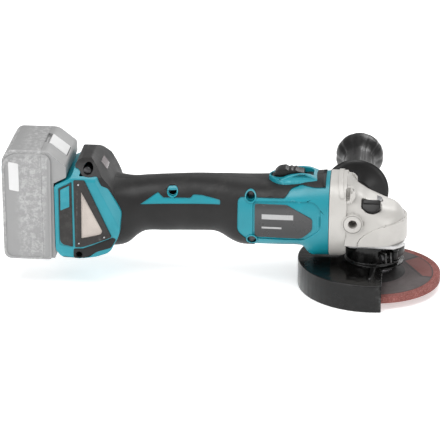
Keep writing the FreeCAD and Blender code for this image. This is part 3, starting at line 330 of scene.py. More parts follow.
def makeMaterial(name, colour, rough, grain=900.0, bump=0.12, depth=0.00006, shade=0.82, rub=None, dust=0.03,
                 metal=0.0, coat=0.0, coatRough=0.1, spec=0.5, sheen=0.0, colourNode=None, heightNode=None,
                 roughSpread=0.12):
    mat = bpy.data.materials.new(name)
    mat.use_nodes = True
    tree = mat.node_tree
    shader = tree.nodes["Principled BSDF"]
    place = tree.nodes.new("ShaderNodeTexCoord").outputs["Object"]
    surface = useGroup(tree, grainGroup, place, Scale=grain)
    tone = tuple(c * shade for c in colour)
    base = mixColour(tree, surface.outputs[1], colour, tone)
    if colourNode:
        base = colourNode(tree, place, base)
    if rub:
        mask = useGroup(tree, rubGroup, place).outputs[0]
        base = mixColour(tree, mathNode(tree, "MULTIPLY", mask, rub[1]), base, rub[0])
    if dust:
        mask = useGroup(tree, dustGroup, place).outputs[0]
        base = mixColour(tree, mathNode(tree, "MULTIPLY", mask, dust), base, (0.55, 0.53, 0.5))
    tree.links.new(base, shader.inputs["Base Color"])
    tree.links.new(ramp(tree, surface.outputs[1], 0, 1, rough - roughSpread / 2, rough + roughSpread / 2),
            shader.inputs["Roughness"])
    shader.inputs["Metallic"].default_value = metal
    shader.inputs["Specular IOR Level"].default_value = spec
    shader.inputs["Coat Weight"].default_value = coat
    shader.inputs["Coat Roughness"].default_value = coatRough
    shader.inputs["Sheen Weight"].default_value = sheen
    tall = surface.outputs[0]
    if heightNode:
        tall = mathNode(tree, "ADD", tall, heightNode(tree, place))
    relief = tree.nodes.new("ShaderNodeBump")
    relief.inputs["Strength"].default_value = bump
    relief.inputs["Distance"].default_value = depth
    tree.links.new(tall, relief.inputs["Height"])
    tree.links.new(relief.outputs[0], shader.inputs["Normal"])
    return mat


def splitPlace(tree, place):
    parts = tree.nodes.new("ShaderNodeSeparateXYZ")
    tree.links.new(place, parts.inputs[0])
    return parts.outputs


def brushed(tree, place):
    # turning marks: rings of noise about the spindle
    x, y, z = splitPlace(tree, place)
    radius = mathNode(tree, "SQRT", mathNode(tree, "ADD", mathNode(tree, "MULTIPLY", x, x), mathNode(tree,
            "MULTIPLY", y, y)))
    ringPlace = tree.nodes.new("ShaderNodeCombineXYZ")
    tree.links.new(radius, ringPlace.inputs[0])
    tree.links.new(z, ringPlace.inputs[2])
    return mathNode(tree, "MULTIPLY", noiseNode(tree, ringPlace.outputs[0], 2600, 2), 1.5)


def polarPlace(tree, place):
    x, y, z = splitPlace(tree, place)
    radius = mathNode(tree, "SQRT", mathNode(tree, "ADD", mathNode(tree, "MULTIPLY", x, x), mathNode(tree,
            "MULTIPLY", y, y)))
    angle = mathNode(tree, "ARCTAN2", y, x)
    return x, y, radius, angle


def inside(tree, value, low, high, soft=0.0002):
    # 1 where value lies between low and high
    rise = ramp(tree, value, low - soft, low + soft)
    fall = ramp(tree, value, high - soft, high + soft, 1.0, 0.0)
    return mathNode(tree, "MULTIPLY", rise, fall)


def gritColour(tree, place, base):
    flecks = tree.nodes.new("ShaderNodeTexVoronoi")
    flecks.inputs["Scale"].default_value = 1500
    tree.links.new(place, flecks.inputs["Vector"])
    bright = mathNode(tree, "GREATER_THAN", flecks.outputs["Color"], 0.72)
    dark = mathNode(tree, "LESS_THAN", flecks.outputs["Color"], 0.2)
    x, y, radius, angle = polarPlace(tree, place)
    hub = ramp(tree, radius, 0.0298, 0.0306, 1.0, 0.0)
    base = mixColour(tree, mathNode(tree, "MULTIPLY", bright, 0.3), base, (0.5, 0.27, 0.24))
    base = mixColour(tree, mathNode(tree, "MULTIPLY", dark, 0.45), base, (0.1, 0.03, 0.025))
    return mixColour(tree, hub, base, (0.018, 0.017, 0.017))


def labelColour(tree, place, base):
    # printed paper: a dark inner ring, a red sector with a dark border, plain bars where the print was
    x, y, radius, angle = polarPlace(tree, place)
    lean = mathNode(tree, "ADD", mathNode(tree, "MULTIPLY", x, 0.898), mathNode(tree, "MULTIPLY", y, 0.44))
    wide = mathNode(tree, "MULTIPLY", inside(tree, lean, 0.0352, 0.09), inside(tree, angle, -0.24, 0.76,
            0.006))
    red = mathNode(tree, "MULTIPLY", inside(tree, lean, 0.0378, 0.09), inside(tree, angle, -0.19, 0.7, 0.006))
    red = mathNode(tree, "MULTIPLY", red, inside(tree, radius, 0.02, 0.0552))
    base = mixColour(tree, wide, base, (0.05, 0.042, 0.042))
    base = mixColour(tree, red, base, (0.16, 0.058, 0.052))
    base = mixColour(tree, inside(tree, radius, 0.01, 0.0302), base, (0.018, 0.017, 0.017))
    ring = mathNode(tree, "MAXIMUM", inside(tree, radius, 0.0545, 0.0549), inside(tree, radius, 0.0335,
            0.0338))
    base = mixColour(tree, mathNode(tree, "MULTIPLY", ring, 0.5), base, (0.04, 0.036, 0.034))
    bars = mathNode(tree, "MULTIPLY", inside(tree, angle, -1.25, -0.85, 0.01), inside(tree, radius, 0.037,
            0.052))
    wave = mathNode(tree, "SINE", mathNode(tree, "MULTIPLY", radius, 3100))
    bars = mathNode(tree, "MULTIPLY", bars, mathNode(tree, "GREATER_THAN", wave, 0.1))
    return mixColour(tree, mathNode(tree, "MULTIPLY", bars, 0.7), base, (0.05, 0.047, 0.045))


def paperFibre(tree, place):
    return mathNode(tree, "MULTIPLY", noiseNode(tree, place, 3500, 6, 0.8), 1.2)


def plateColour(tree, place, base):
    # the nameplate fades darker towards its foot
    x, y, z = splitPlace(tree, place)
    fade = ramp(tree, z, 0.036, 0.068)
    base = mixColour(tree, fade, (0.016, 0.016, 0.017), (0.045, 0.045, 0.046))
    stripe = inside(tree, z, 0.0545, 0.0592)
    stripe = mathNode(tree, "MULTIPLY", stripe, inside(tree, x, -0.1, -0.0715))
    small = mathNode(tree, "MULTIPLY", inside(tree, z, 0.0455, 0.0472), inside(tree, x, -0.1, -0.082))
    marks = mathNode(tree, "MAXIMUM", stripe, small)
    return mixColour(tree, mathNode(tree, "MULTIPLY", marks, 0.75), base, (0.5, 0.5, 0.5))


def weave(tree, place):
    # woven screen: two crossed sets of wires
    x, y, z = splitPlace(tree, place)
    a = mathNode(tree, "SINE", mathNode(tree, "MULTIPLY", x, 9000))
    b = mathNode(tree, "SINE", mathNode(tree, "MULTIPLY", z, 9000))
    return mathNode(tree, "MULTIPLY", mathNode(tree, "MAXIMUM", a, b), 2.0)


def screenColour(tree, place, base):
    x, y, z = splitPlace(tree, place)
    a = mathNode(tree, "SINE", mathNode(tree, "MULTIPLY", x, 9000))
    b = mathNode(tree, "SINE", mathNode(tree, "MULTIPLY", z, 9000))
    # painted shade: the gaps between the wires are darkened to stand for the shaded inside seen through the screen
    paintedShadeGaps = ramp(tree, mathNode(tree, "MAXIMUM", a, b), -0.9, -0.3, 0.55, 0.0)
    return mixColour(tree, paintedShadeGaps, base, (0.16, 0.145, 0.13))


def fibres(tree, place):
    return mathNode(tree, "MULTIPLY", noiseNode(tree, place, 600, 3), 2.0)


mats = {
    "teal": makeMaterial("tealPlastic", (0.004, 0.235, 0.295), 0.38, grain=1300, bump=0.10,
            rub=((0.12, 0.46, 0.52), 0.6), dust=0.03, shade=0.9),
    "rubber": makeMaterial("gripRubber", (0.011, 0.0106, 0.0106), 0.48, spec=0.28, grain=1100, bump=0.3,
    depth=0.00009, rub=((0.09, 0.088, 0.086), 0.6), dust=0.035, sheen=0.05, shade=0.85),
    "black": makeMaterial("blackPlastic", (0.008, 0.0077, 0.0077), 0.38, spec=0.28, grain=1500, bump=0.16,
    rub=((0.1, 0.1, 0.1), 0.5), dust=0.03),
    "charcoal": makeMaterial("charcoalPlastic", (0.024, 0.022, 0.021), 0.43, spec=0.3, grain=1400, bump=0.15,
    rub=((0.16, 0.155, 0.15), 0.5), dust=0.03),
    "gloss": makeMaterial("glossBlackSteel", (0.003, 0.0029, 0.0028), 0.22, spec=0.25, grain=500, bump=0.06,
    rub=((0.22, 0.22, 0.22), 0.55), dust=0.006, coat=0.12, coatRough=0.08),
    "cast": makeMaterial("castAluminium", (0.5, 0.485, 0.46), 0.42, grain=1700, bump=0.14, depth=0.00007,
    rub=((0.85, 0.84, 0.81), 0.5), dust=0.05, metal=0.15, shade=0.93),
    "castRaw": makeMaterial("rawCasting", (0.55, 0.55, 0.55), 0.4, grain=1900, bump=0.25,
    rub=((0.8, 0.8, 0.8), 0.5), metal=0.9, shade=0.9),
    "steel": makeMaterial("turnedSteel", (0.58, 0.58, 0.59), 0.27, grain=1500, bump=0.16,
    rub=((0.85, 0.85, 0.85), 0.5), metal=1.0, shade=0.88, heightNode=brushed),
    "gear": makeMaterial("gearSteel", (0.33, 0.33, 0.345), 0.33, grain=1200, bump=0.2,
    rub=((0.75, 0.75, 0.76), 0.7), metal=1.0, shade=0.8),
    "bearing": makeMaterial("bearingSteel", (0.66, 0.66, 0.68), 0.18, grain=1800, bump=0.08,
    rub=((0.9, 0.9, 0.9), 0.4), metal=1.0, shade=0.94, heightNode=brushed),
    "zinc": makeMaterial("zincSteel", (0.5, 0.5, 0.52), 0.3, grain=800, bump=0.15, rub=((0.85, 0.85, 0.84),
    0.6), metal=1.0, shade=0.75),
    "screw": makeMaterial("blackenedScrew", (0.05, 0.05, 0.052), 0.36, grain=1300, bump=0.15,
    rub=((0.45, 0.45, 0.45), 0.7), metal=0.9),
    "grit": makeMaterial("bondedAbrasive", (0.25, 0.085, 0.075), 0.85, grain=1500, bump=0.9, depth=0.0003,
    shade=0.8, colourNode=gritColour, dust=0.0, spec=0.25),
    "label": makeMaterial("printedPaper", (0.085, 0.07, 0.07), 0.68, grain=1400, bump=0.25, shade=0.9,
    colourNode=labelColour, heightNode=paperFibre, dust=0.04, spec=0.3),
    "flange": makeMaterial("flangeSteel", (0.2, 0.2, 0.205), 0.35, grain=1200, bump=0.2,
    rub=((0.6, 0.6, 0.6), 0.6), metal=0.95, heightNode=brushed),
    "plate": makeMaterial("nameplateFoil", (0.1, 0.1, 0.1), 0.33, grain=1700, bump=0.05,
    colourNode=plateColour, dust=0.02, coat=0.25),
    "screen": makeMaterial("wovenScreen", (0.56, 0.5, 0.455), 0.5, grain=1500, bump=0.45, depth=0.00012,
    colourNode=screenColour, heightNode=weave, metal=0.35),
    "lens": makeMaterial("indicatorLens", (0.2, 0.17, 0.175), 0.22, grain=1500, bump=0.04, coat=0.6,
    dust=0.02),
    "handle": makeMaterial("handlePolymer", (0.009, 0.0087, 0.0087), 0.34, spec=0.28, grain=900, bump=0.2,
    rub=((0.12, 0.12, 0.12), 0.5), dust=0.03),
    "battery": makeMaterial("batteryShell", (0.27, 0.27, 0.27), 0.46, grain=1300, bump=0.14,
    rub=((0.6, 0.6, 0.6), 0.4), dust=0.03, shade=0.95),
    "batteryPale": makeMaterial("batteryPale", (0.62, 0.62, 0.62), 0.42, grain=1400, bump=0.12,
    rub=((0.75, 0.75, 0.75), 0.4), dust=0.03, shade=0.95),
    "copper": makeMaterial("copperWire", (0.72, 0.27, 0.12), 0.3, grain=700, bump=0.4, metal=1.0,
    heightNode=fibres),
    "laminate": makeMaterial("steelSheets", (0.28, 0.28, 0.29), 0.45, grain=900, bump=0.3, metal=0.9,
    heightNode=fibres),
    "cell": makeMaterial("cellWrap", (0.05, 0.16, 0.33), 0.35, grain=900, bump=0.1),
    "board": makeMaterial("circuitLacquer", (0.02, 0.2, 0.07), 0.3, grain=1100, bump=0.25),
    "brass": makeMaterial("brassContact", (0.75, 0.55, 0.25), 0.28, grain=1100, bump=0.15, metal=1.0),
}
print("materials ready", len(mats))

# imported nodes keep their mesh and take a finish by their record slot
slotMats = {
    "housing_teal": "teal", "grip_rubber": "rubber", "black_plastic": "black", "nameplate_grey": "plate",
            "indicator_lens": "lens",
    "mesh_grey": "screen", "screw_black": "screw", "cast_aluminium": "castRaw", "machined_steel": "steel",
    "gear_steel": "gear",
    "bearing_steel": "bearing", "guard_black": "gloss", "zinc_steel": "zinc", "abrasive_brown": "grit",
    "label_paper": "label",
    "flange_steel": "flange", "copper_coil": "copper", "lamination": "laminate", "handle_black": "handle",
    "battery_grey": "battery",
    "battery_light": "batteryPale", "cell_wrap": "cell", "circuit_green": "board", "brass_contact": "brass",
}
for name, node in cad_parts.items():
    for place in node.material_slots:
        old = place.material.name.split(".")[0] if place.material else ""
        if old in slotMats:
            place.material = mats[slotMats[old]]

# ---------- motor body and grip

# place, middle height, half height, half width, squareness
bodyRows = [
    (-39.6, 51.5, 38.1, 31.6, 2.6),
    (-47.0, 51.1, 37.5, 31.8, 2.7),
    (-55.5, 50.6, 36.8, 31.8, 2.8),
    (-59.0, 52.0, 35.0, 31.6, 2.8),
    (-62.5, 54.1, 32.4, 31.4, 2.8),
    (-66.0, 54.5, 30.8, 31.4, 2.9),
    (-82.0, 53.6, 29.9, 31.4, 3.0),
    (-104.0, 52.7, 29.4, 30.8, 3.0),
    (-120.0, 52.8, 29.6, 29.4, 2.8),
    (-130.0, 54.8, 28.2, 27.4, 2.6),
    (-137.0, 57.0, 26.3, 25.6, 2.5),
    (-144.0, 58.2, 25.2, 24.2, 2.4),
    (-162.0, 58.0, 25.4, 23.0, 2.35),
    (-190.0, 56.6, 25.1, 22.4, 2.35),
    (-208.0, 55.4, 24.6, 23.2, 2.4),
    (-216.0, 52.5, 26.3, 25.0, 2.45),
    (-222.0, 49.6, 28.9, 27.0, 2.5),
    (-228.0, 48.2, 30.3, 29.4, 2.6),
    (-234.0, 48.2, 30.6, 31.0, 2.8),
    (-240.0, 49.0, 31.4, 31.6, 3.0),
]
tealField = [(-122, 73.6, 4), (-122.4, 41.3, 4), (-114, 33.6, 3), (-107, 24, 2), (-104, 0), (-30, 0),
        (-30, 83.6), (-43.2, 83.6), (-53.3, 83.2, 1),
             (-64.5, 84.4, 2), (-74.3, 81.5, 1.5), (-79.5, 74.4, 2)]
gripAccent = [(-211.7, 61.9), (-195.4, 73.1), (-190.2, 68.7), (-165.6, 69.4), (-162.9, 72.5, 1),
        (-155.1, 72.4), (-138.2, 69.3, 0.6), (-138.2, 65.0, 0.6)]
neckStrip = [(-262, 0), (-262, 16.6), (-226, 20.6), (-221, 15), (-221, 0)]


def windows(outline, deep=14, edge=0.0):
    left = slab(outline, -60, -deep, edge=edge)
    return [left, mirrored(left)]


housingWells = [(-182.0, 74.0, 3.9), (-110.5, 74.2, 4.1), (-109.0, 33.2, 4.1)]

rubber = newObject("gripRubber", loft(bodyRows, grow=0.55))
carve(rubber, windows(tealField) + windows(gripAccent) + windows(neckStrip, deep=4))
carve(rubber, [slab([(-30, 0), (-30, 110), (-43.2, 110), (-43.2, 0)], -60, 60), slab([(-104, 0), (-105, 10),
        (-107, 24), (-43, 24), (-43, 0)], -60, 60)])
carve(rubber, [loft(bodyRows, grow=-1.6)])
carve(rubber, [rod(r + 1.3, (x, -60, z), 46) for x, z, r in housingWells])
carve(rubber, [rod(5.4, (-258, -60, 96), 60)])

shell = newObject("bodyShell", loft(bodyRows, grow=-0.3))
carve(shell, [loft([(x, mid, high, wide, power) for x, mid, high, wide, power in bodyRows if x < -44],
        grow=-3.2)])
rings = newObject("wellRings", loft(bodyRows, grow=0.62))
ringStock = newObject("ringStock", rod(housingWells[0][2] + 1.2, (housingWells[0][0], -60,
        housingWells[0][1]), 45))
carve(ringStock, [rod(r + 1.2, (x, -60, z), 45) for x, z, r in housingWells[1:]], "UNION")
stock = bmesh.new()
stock.from_mesh(ringStock.data)
bpy.data.objects.remove(ringStock)
carve(rings, [stock], "INTERSECT")
carve(rings, [rod(r, (x, -60, z), 43) for x, z, r in housingWells])
plateRecess = [(-108.4, 70.2, 2), (-108.4, 34.6, 3), (-63.5, 33.6, 3), (-46.8, 46.0, 4), (-46.8, 65.0, 3),
        (-53.0, 71.6, 3), (-79.5, 71.6, 3)]
carve(shell, [rod(r, (x, -60, z), 43) for x, z, r in housingWells])
recess = newObject("plateRecess", loft(bodyRows, grow=-1.45))
plateSink = newObject("plateSink", slab(plateRecess, -60, -10))
carve(plateSink, [slab(plateRecess, 10, 60)], "UNION")
inner = bmesh.new()
inner.from_mesh(recess.data)
carve(plateSink, [inner])
sink = bmesh.new()
sink.from_mesh(plateSink.data)
carve(shell, [sink])
bpy.data.objects.remove(recess)
bpy.data.objects.remove(plateSink)
finishPiece(rings, mats["teal"], "tool", edge=0.25)

for label, side in (("left", -1), ("right", 1)):
    a = newObject("shell_" + label, bmesh.new())
    a.data = shell.data.copy()
    half(a, side)
    finishPiece(a, mats["teal"], "tool", ["housing_" + label], edge=0.3)
    b = newObject("rubber_" + label, bmesh.new())
    b.data = rubber.data.copy()
    half(b, side)
    finishPiece(b, mats["rubber"], "tool", ["grip_overmould_" + label], edge=0.3)
bpy.data.objects.remove(shell)
bpy.data.objects.remove(rubber)
print("body and grip")

# nameplates set into the recess, following the side
plateOutline = [(-106.4, 68.2, 1.6), (-106.4, 36.6, 2), (-64.5, 35.6, 2.5), (-54.4, 45.5, 2.5),
        (-54.4, 56.0, 2), (-77.5, 68.4, 2)]
for label, side in (("left", -1), ("right", 1)):
    band = slab(plateOutline, -60, -20) if side < 0 else slab(plateOutline, 20, 60)
    plate = newObject("plate_" + label, band)
    carve(plate, [loft(bodyRows, grow=-0.55)], "INTERSECT")
    finishPiece(plate, mats["plate"], "tool", ["nameplate_" + label], edge=0.2)

# ---------- dock

dockOutline = [(-287.6, 20, 2), (-282, 13.2, 3), (-262, 12.6, 2), (-250, 14.6, 2), (-238, 19, 4),
        (-229.0, 36, 4), (-227, 57, 3), (-239.0, 79.5), (-250.2, 96.4, 2),
               (-255.0, 100.8, 2.5), (-262, 101.2, 3), (-269.6, 99.4, 2), (-272.4, 90.0, 3), (-287.6, 82.2,
               2)]
dock = newObject("dockShell", slab(dockOutline, -36.8, 36.8))
carve(dock, [slab([(-36.8, 5), (36.8, 5), (36.8, 88.9, 3), (21, 101.4, 5), (-21, 101.4, 5),
        (-36.8, 88.9, 3)], -300, -220, axis="X")], "INTERSECT")
carve(dock, [slab([(-284, 22), (-262, 17), (-240, 24), (-233, 40), (-232, 57), (-243, 80), (-255, 94),
        (-264, 94), (-268, 82), (-284, 76)], -33.6, 33.6)])
for side in (-1, 1):
    # the long facet that turns from the side to the neck
    p1, p2, p3 = Vector((-252.0, 36.9 * side, 89.6)), Vector((-232.6, 36.9 * side, 50)), Vector((-228.2,
            31.5 * side, 59))
    facing = (p2 - p1).cross(p3 - p1).normalized()
    facing = facing if facing.x > 0 else -facing
    wedge = slab([(-90, -90), (90, -90), (90, 90), (-90, 90)], 0, 60, axis="Z")
    bmesh.ops.transform(wedge, matrix=Matrix.Translation(p1) @ facing.to_track_quat("Z",
            "Y").to_matrix().to_4x4(), verts=wedge.verts)
    carve(dock, [wedge])
dockWells = [(-257.2, 97.0, 4.7), (-266.0, 16.4, 3.3)]
carve(dock, [slab([(-284, 80, 1), (-284, 25, 3), (-271.4, 23.2, 1), (-271.4, 86.8, 1)], -60, -35.9),
             slab([(-284, 80, 1), (-284, 25, 3), (-271.4, 23.2, 1), (-271.4, 86.8, 1)], 35.9, 60)])
carve(dock, [slab([(-300, 27), (-300, 85), (-281, 85), (-281, 27)], -29.5, 29.5)])
carve(dock, [rod(r, (x, -60, z), 46) for x, z, r in dockWells])
finishPiece(dock, mats["teal"], "tool", edge=0.6, limit=28)

bulgeOutline = [(-269.8, 97.6, 1.5), (-268.6, 101.8, 2), (-262, 104.2, 2.8), (-255.4, 104.2, 2.6),
        (-249.2, 98.6, 3), (-236.4, 79.6, 6), (-229.4, 60.0, 4), (-229.6, 40),
                (-234, 40), (-234.6, 56), (-248.4, 92.0, 2), (-257.0, 90.4, 4), (-263.2, 92.2, 3),
                (-265.6, 97.0, 2)]
bulge = newObject("dockBulge", slab(bulgeOutline, -38, 38))
carve(bulge, [slab([(-36.5, 30), (36.5, 30), (36.5, 89.2, 4), (20.6, 104.2, 7), (-20.6, 104.2, 7),
        (-36.5, 89.2, 4)], -300, -220, axis="X")], "INTERSECT")
carve(bulge, [slab([(-280, -37.1), (-251, -37.1, 5), (-238.0, -31.6, 5), (-228, -27.0, 3), (-228, 27.0, 3),
        (-238.0, 31.6, 5), (-251, 37.1, 5), (-280, 37.1)], 30, 110, axis="Z")], "INTERSECT")
carve(bulge, [rod(dockWells[0][2] - 0.1, (dockWells[0][0], -60, dockWells[0][1]), 46)])
finishPiece(bulge, mats["rubber"], "tool", edge=1.0, segments=3, limit=24)
wellFloor = newObject("dockWellFloor", rod(4.9, (dockWells[0][0], -9, dockWells[0][1]), 3))
finishPiece(wellFloor, mats["black"], "tool", edge=0.4)

lobeOutline = [(-271.4, 22.6, 2), (-271.8, 13.4, 2), (-269, 12.4, 1), (-259.8, 12.9, 2), (-249, 19.4, 2),
        (-236, 23.6, 2), (-231, 33, 2), (-235, 34.6),
               (-253.1, 26.6), (-262.5, 23.0)]
for label, side in (("left", -1), ("right", 1)):
    lobe = newObject("dockLobe_" + label, slab(lobeOutline, 28 * side, 37.1 * side,
            edge=1.2) if side > 0 else slab(lobeOutline, -37.1, -28, edge=1.2))
    if side < 0:
        carve(lobe, [rod(3.1, (dockWells[1][0], -60, dockWells[1][1]), 30)])
    finishPiece(lobe, mats["rubber"], "tool", edge=0.3)
print("dock")

# side panel, dust cover and screen
coverOutline = [(-269.6, 88.6, 1.0), (-259.8, 88.8, 1.2), (-235.8, 34.6, 1.5), (-253.1, 27.6, 2),
        (-262.5, 24.2, 2), (-269.4, 23.8, 1)]
screenOutline = [(-262.9, 78.2, 0.6), (-244.0, 40.0, 1.4), (-246.4, 36.6, 1.4), (-263.6, 32.4, 0.8)]
for label, side in (("left", -1), ("right", 1)):
    def sided(outline, near, far, edge=0.0):
        return slab(outline, -far, -near, edge=edge) if side < 0 else slab(outline, near, far, edge=edge)
    frameRing = newObject("cover_" + label, sided(coverOutline, 36.2, 38.4))
    carve(frameRing, [sided(screenOutline, 30, 45)])
    for x, z in ((-265.2, 84.6), (-242.6, 34.4), (-265.9, 27.6)):
        carve(frameRing, [rod(0.95, (x, -45 if side < 0 else 37.7, z), 7.3 if side < 0 else 7, steps=20)])
        pin = newObject("pin", rod(0.75, (x, -38.2 if side < 0 else 37.2, z), 1.0, steps=20))
        finishPiece(pin, mats["zinc"], "tool", edge=0.12)
    finishPiece(frameRing, mats["charcoal"], "tool", ["dust_cover_" + label], edge=0.45)
    screen = newObject("screen_" + label, sided([(x, z, r) for x, z, r in screenOutline], 36.4, 37.3))
    finishPiece(screen, mats["screen"], "tool", ["intake_mesh_" + label], edge=0.1)
    badge = newObject("panelTeal_" + label, sided([(-282.0, 78.6, 0.6), (-273.8, 83.0, 0.6), (-274.0, 62.6,
            0.4), (-282.2, 58.8, 0.4)], 35.4, 36.8))
    finishPiece(badge, mats["teal"], "tool", edge=0.1)
    panel = newObject("panelBlack_" + label, sided([(-283.6, 79.6, 0.5), (-283.6, 29.0, 3), (-281, 25.4, 3),
            (-271.7, 23.6, 1), (-271.7, 86.0, 0.5)], 34.8, 36.2))
    finishPiece(panel, mats["charcoal"], "tool", edge=0.1)
print("covers")

# ---------- battery

faceOutline = [(-335, 10.6, 7), (-291.3, 10.6, 2), (-290.6, 60), (-290.4, 108.2, 3), (-295.0, 112.4, 3),
        (-325.5, 112.4, 6), (-335, 103.6, 5)]
coreOutline = [(-334.8, 10.5, 7), (-288.2, 10.5, 2), (-288.2, 84.2), (-276.6, 90.2, 1), (-276.6, 100.9, 2),
        (-295.0, 115.5, 4), (-328.5, 115.5, 5), (-335, 107.0, 4)]
splitX = -299.0


def cutAt(piece, x, keepLow):
    return carve(piece, [slab([(x, -40), (x + (60 if keepLow else -60), -40), (x + (60 if keepLow else -60),
            160), (x, 160)], -60, 60)])


for label, keepLow, node in (("case", True, "battery_case"), ("lid", False, "battery_lid")):
    pack = newObject("pack_" + label, slab(coreOutline, -40, 40))
    carve(pack, [slab([(-35.4, 10.4, 3), (35.4, 10.4, 3), (35.4, 115.6, 5), (-35.4, 115.6, 5)], -345, -265,
            axis="X")], "INTERSECT")
    for side in (-1, 1):
        raised = slab(faceOutline, -37.3, -30) if side < 0 else slab(faceOutline, 30, 37.3)
        carve(pack, [raised], "UNION")
        inset = [(-332.4, 12.6, 6), (-293.2, 12.6, 2), (-292.6, 106.4, 2.3), (-296.0, 109.8, 2.3),
                (-324.8, 109.8, 5), (-332.4, 102, 5)]
        carve(pack, [slab(inset, -50, -36.7) if side < 0 else slab(inset, 36.7, 50)])
    carve(pack, [slab([(-300.4, 119.6), (-278.4, 103.2), (-280.0, 100.6), (-299.0, 113.4)], -12.3, 12.3)])
    carve(pack, [slab([(-332.4, 14), (-290.6, 14), (-290.6, 86), (-280, 92), (-280, 97.6), (-297.5, 111),
            (-327, 111), (-332.4, 106)], -34, 34)])
    cutAt(pack, splitX + (0 if keepLow else 0.12), keepLow)
    finishPiece(pack, mats["battery"], "battery", [node], edge=1.0, segments=3, limit=35)
flashes = [(-328.8, 104.2, 1), (-319.6, 102.6, 1), (-319.6, 75.8, 1), (-328.6, 77.4, 1)]
for side in (-1, 1):
    mark = newObject("packMark", slab(flashes, -36.95, -36.6, edge=0.1) if side < 0 else slab(flashes, 36.6,
            36.95, edge=0.1))
    finishPiece(mark, mats["batteryPale"], "battery", edge=0.05)
button = newObject("releaseButton", slab([(-294.5, 115.4, 0.5), (-279.0, 103.4, 0.5), (-280.3, 101.4),
        (-296.4, 112.8)], -11.7, 11.7))
finishPiece(button, mats["batteryPale"], "release_button", ["battery_release_button"],
        edge=0.5, segments=3)
print("battery")

# ---------- gear head

headRows = [
    (-25.0, 31, 58.4, 31.2, 2.8),
    (-23.8, 31, 58.2, 31.2, 2.9),
    (-21.0, 31, 54.2, 31.2, 3.0),
    (-18.7, 31, 50.8, 31.2, 3.1),
    (-15.0, 31, 46.8, 31.2, 3.2),
    (-10.0, 31, 43.3, 30.6, 3.3),
    (-5.8, 31, 40.2, 30.6, 3.4),
    (0.0, 31, 37.3, 30.4, 3.5),
    (5.0, 31, 35.0, 30.0, 3.5),
    (10.0, 31, 33.0, 28.7, 3.5),
    (14.0, 31, 31.9, 27.0, 3.5),
    (18.0, 31, 30.9, 24.5, 3.5),
    (21.0, 31, 29.4, 22.0, 3.5),
    (24.0, 31, 26.9, 18.7, 3.5),
    (26.5, 31, 24.0, 14.9, 3.5),
    (28.3, 31, 20.6, 11.1, 3.5),
    (29.4, 31, 17.6, 7.7, 3.5),
    (30.1, 31, 15.4, 4.3, 3.5),
]
flangeRows = [(-39.3, 51.6, 37.8, 31.9, 2.8), (-23.8, 51.6, 37.8, 31.9, 2.8)]
head = newObject("headShell", loft(headRows, steps=120, gap=1.5))
carve(head, [slab([(-45, -60), (45, -60), (45, 31), (-45, 31)], -70, 70)])
block = newObject("flangeBlock", loft(flangeRows, steps=120, gap=4))
carve(block, [rod(34.1, (0, 0, 0), 30.8, axis="Z", steps=96)])
stock = bmesh.new()
stock.from_mesh(block.data)
bpy.data.objects.remove(block)
carve(head, [stock], "UNION")
# lower nose, one step prouder, under an arched edge
arch = [(-14, 30.9), (-13, 36, 3), (-7, 42.6, 4), (3, 48.0, 4), (13, 50.6, 4), (24, 51.6, 4), (32, 51.8),
        (32, 30.9)]
lower = newObject("headLower", slab(arch, -33, 33))
lowerPlan = [(-21, -31.7, 1), (-14, -31.4, 3)] + [(30.9 * math.cos(math.radians(a)),
        30.9 * math.sin(math.radians(a))) for a in range(-90, 91, 10)]
lowerPlan += [(-14, 31.4, 3), (-21, 31.7, 1)]
carve(lower, [slab(lowerPlan, 0, 120, axis="Z")], "INTERSECT")
step = bmesh.new()
step.from_mesh(lower.data)
bpy.data.objects.remove(lower)
carve(head, [step], "UNION")
# handle sockets on both sides
for side in (-1, 1):
    carve(head, [rod(9.2, (-18, -33.2 if side < 0 else 20, 53), 13.2)], "UNION")
    carve(head, [lathe([(8.1, 0), (8.7, 0), (8.7, 1.2), (8.1, 1.2)], 48, "Y",
            (-18, -33.5 if side < 0 else 32.3, 53))])
    carve(head, [rod(4.0, (-18, -34 if side < 0 else 18, 53), 16)])
# screw bosses at the foot of the block, each with a dark pocket
for side in (-1, 1):
    boss = newObject("boss", loft([(-26, 51.6, 37.0, 31.0, 2.8), (-15, 51.6, 34.6, 29.6, 2.8)]))
    carve(boss, [slab([(-26, 71), (-19.8, 71, 2), (-15.2, 77.5, 2), (-19.0, 84.4, 1), (-26, 84.4)],
            16 * side, 32 * side)], "INTERSECT")
    stock = bmesh.new()
    stock.from_mesh(boss.data)
    bpy.data.objects.remove(boss)
    carve(head, [stock], "UNION")
    carve(head, [slab([(-24.6, 73.4, 1), (-21.2, 73.4, 1), (-20.8, 83.4, 1), (-24.6, 83.4, 1)], 19 * side,
            40 * side)])
# shield pocket of the shaft lock
lockTurn = Matrix.Translation((-1.8, -8.9, 53.7)) @ Matrix.Rotation(math.radians(46), 4, "X")
shield = [(-8.4, 7.0, 1.5), (-8.4, -1.6, 1.5), (-2.6, -5.6, 1.5), (2.6, -5.6, 1.5), (8.4, -1.6, 1.5),
        (8.4, 7.0, 1.5)]
pocket = slab([(x * 1.07, y * 1.07 + (1.0 if y > 0 else -0.2), r) for x, y, r in shield], 7.8, 60, axis="Z")
bmesh.ops.transform(pocket, matrix=lockTurn, verts=pocket.verts)
carve(head, [pocket])
# rooms for the gears, the bearings and the pinion
carve(head, [rod(22.8, (0, 0, 20), 32.4, axis="Z", steps=96)])
carve(head, [rod(8.2, (0, 0, 50), 16.8, axis="Z")])
carve(head, [rod(11.3, (-45, 0, 52), 30, axis="X"), rod(9.6, (-16, 0, 52), 12, axis="X")])
finishPiece(head, mats["cast"], "tool", ["gear_housing"], edge=0.55, segments=3, limit=30)
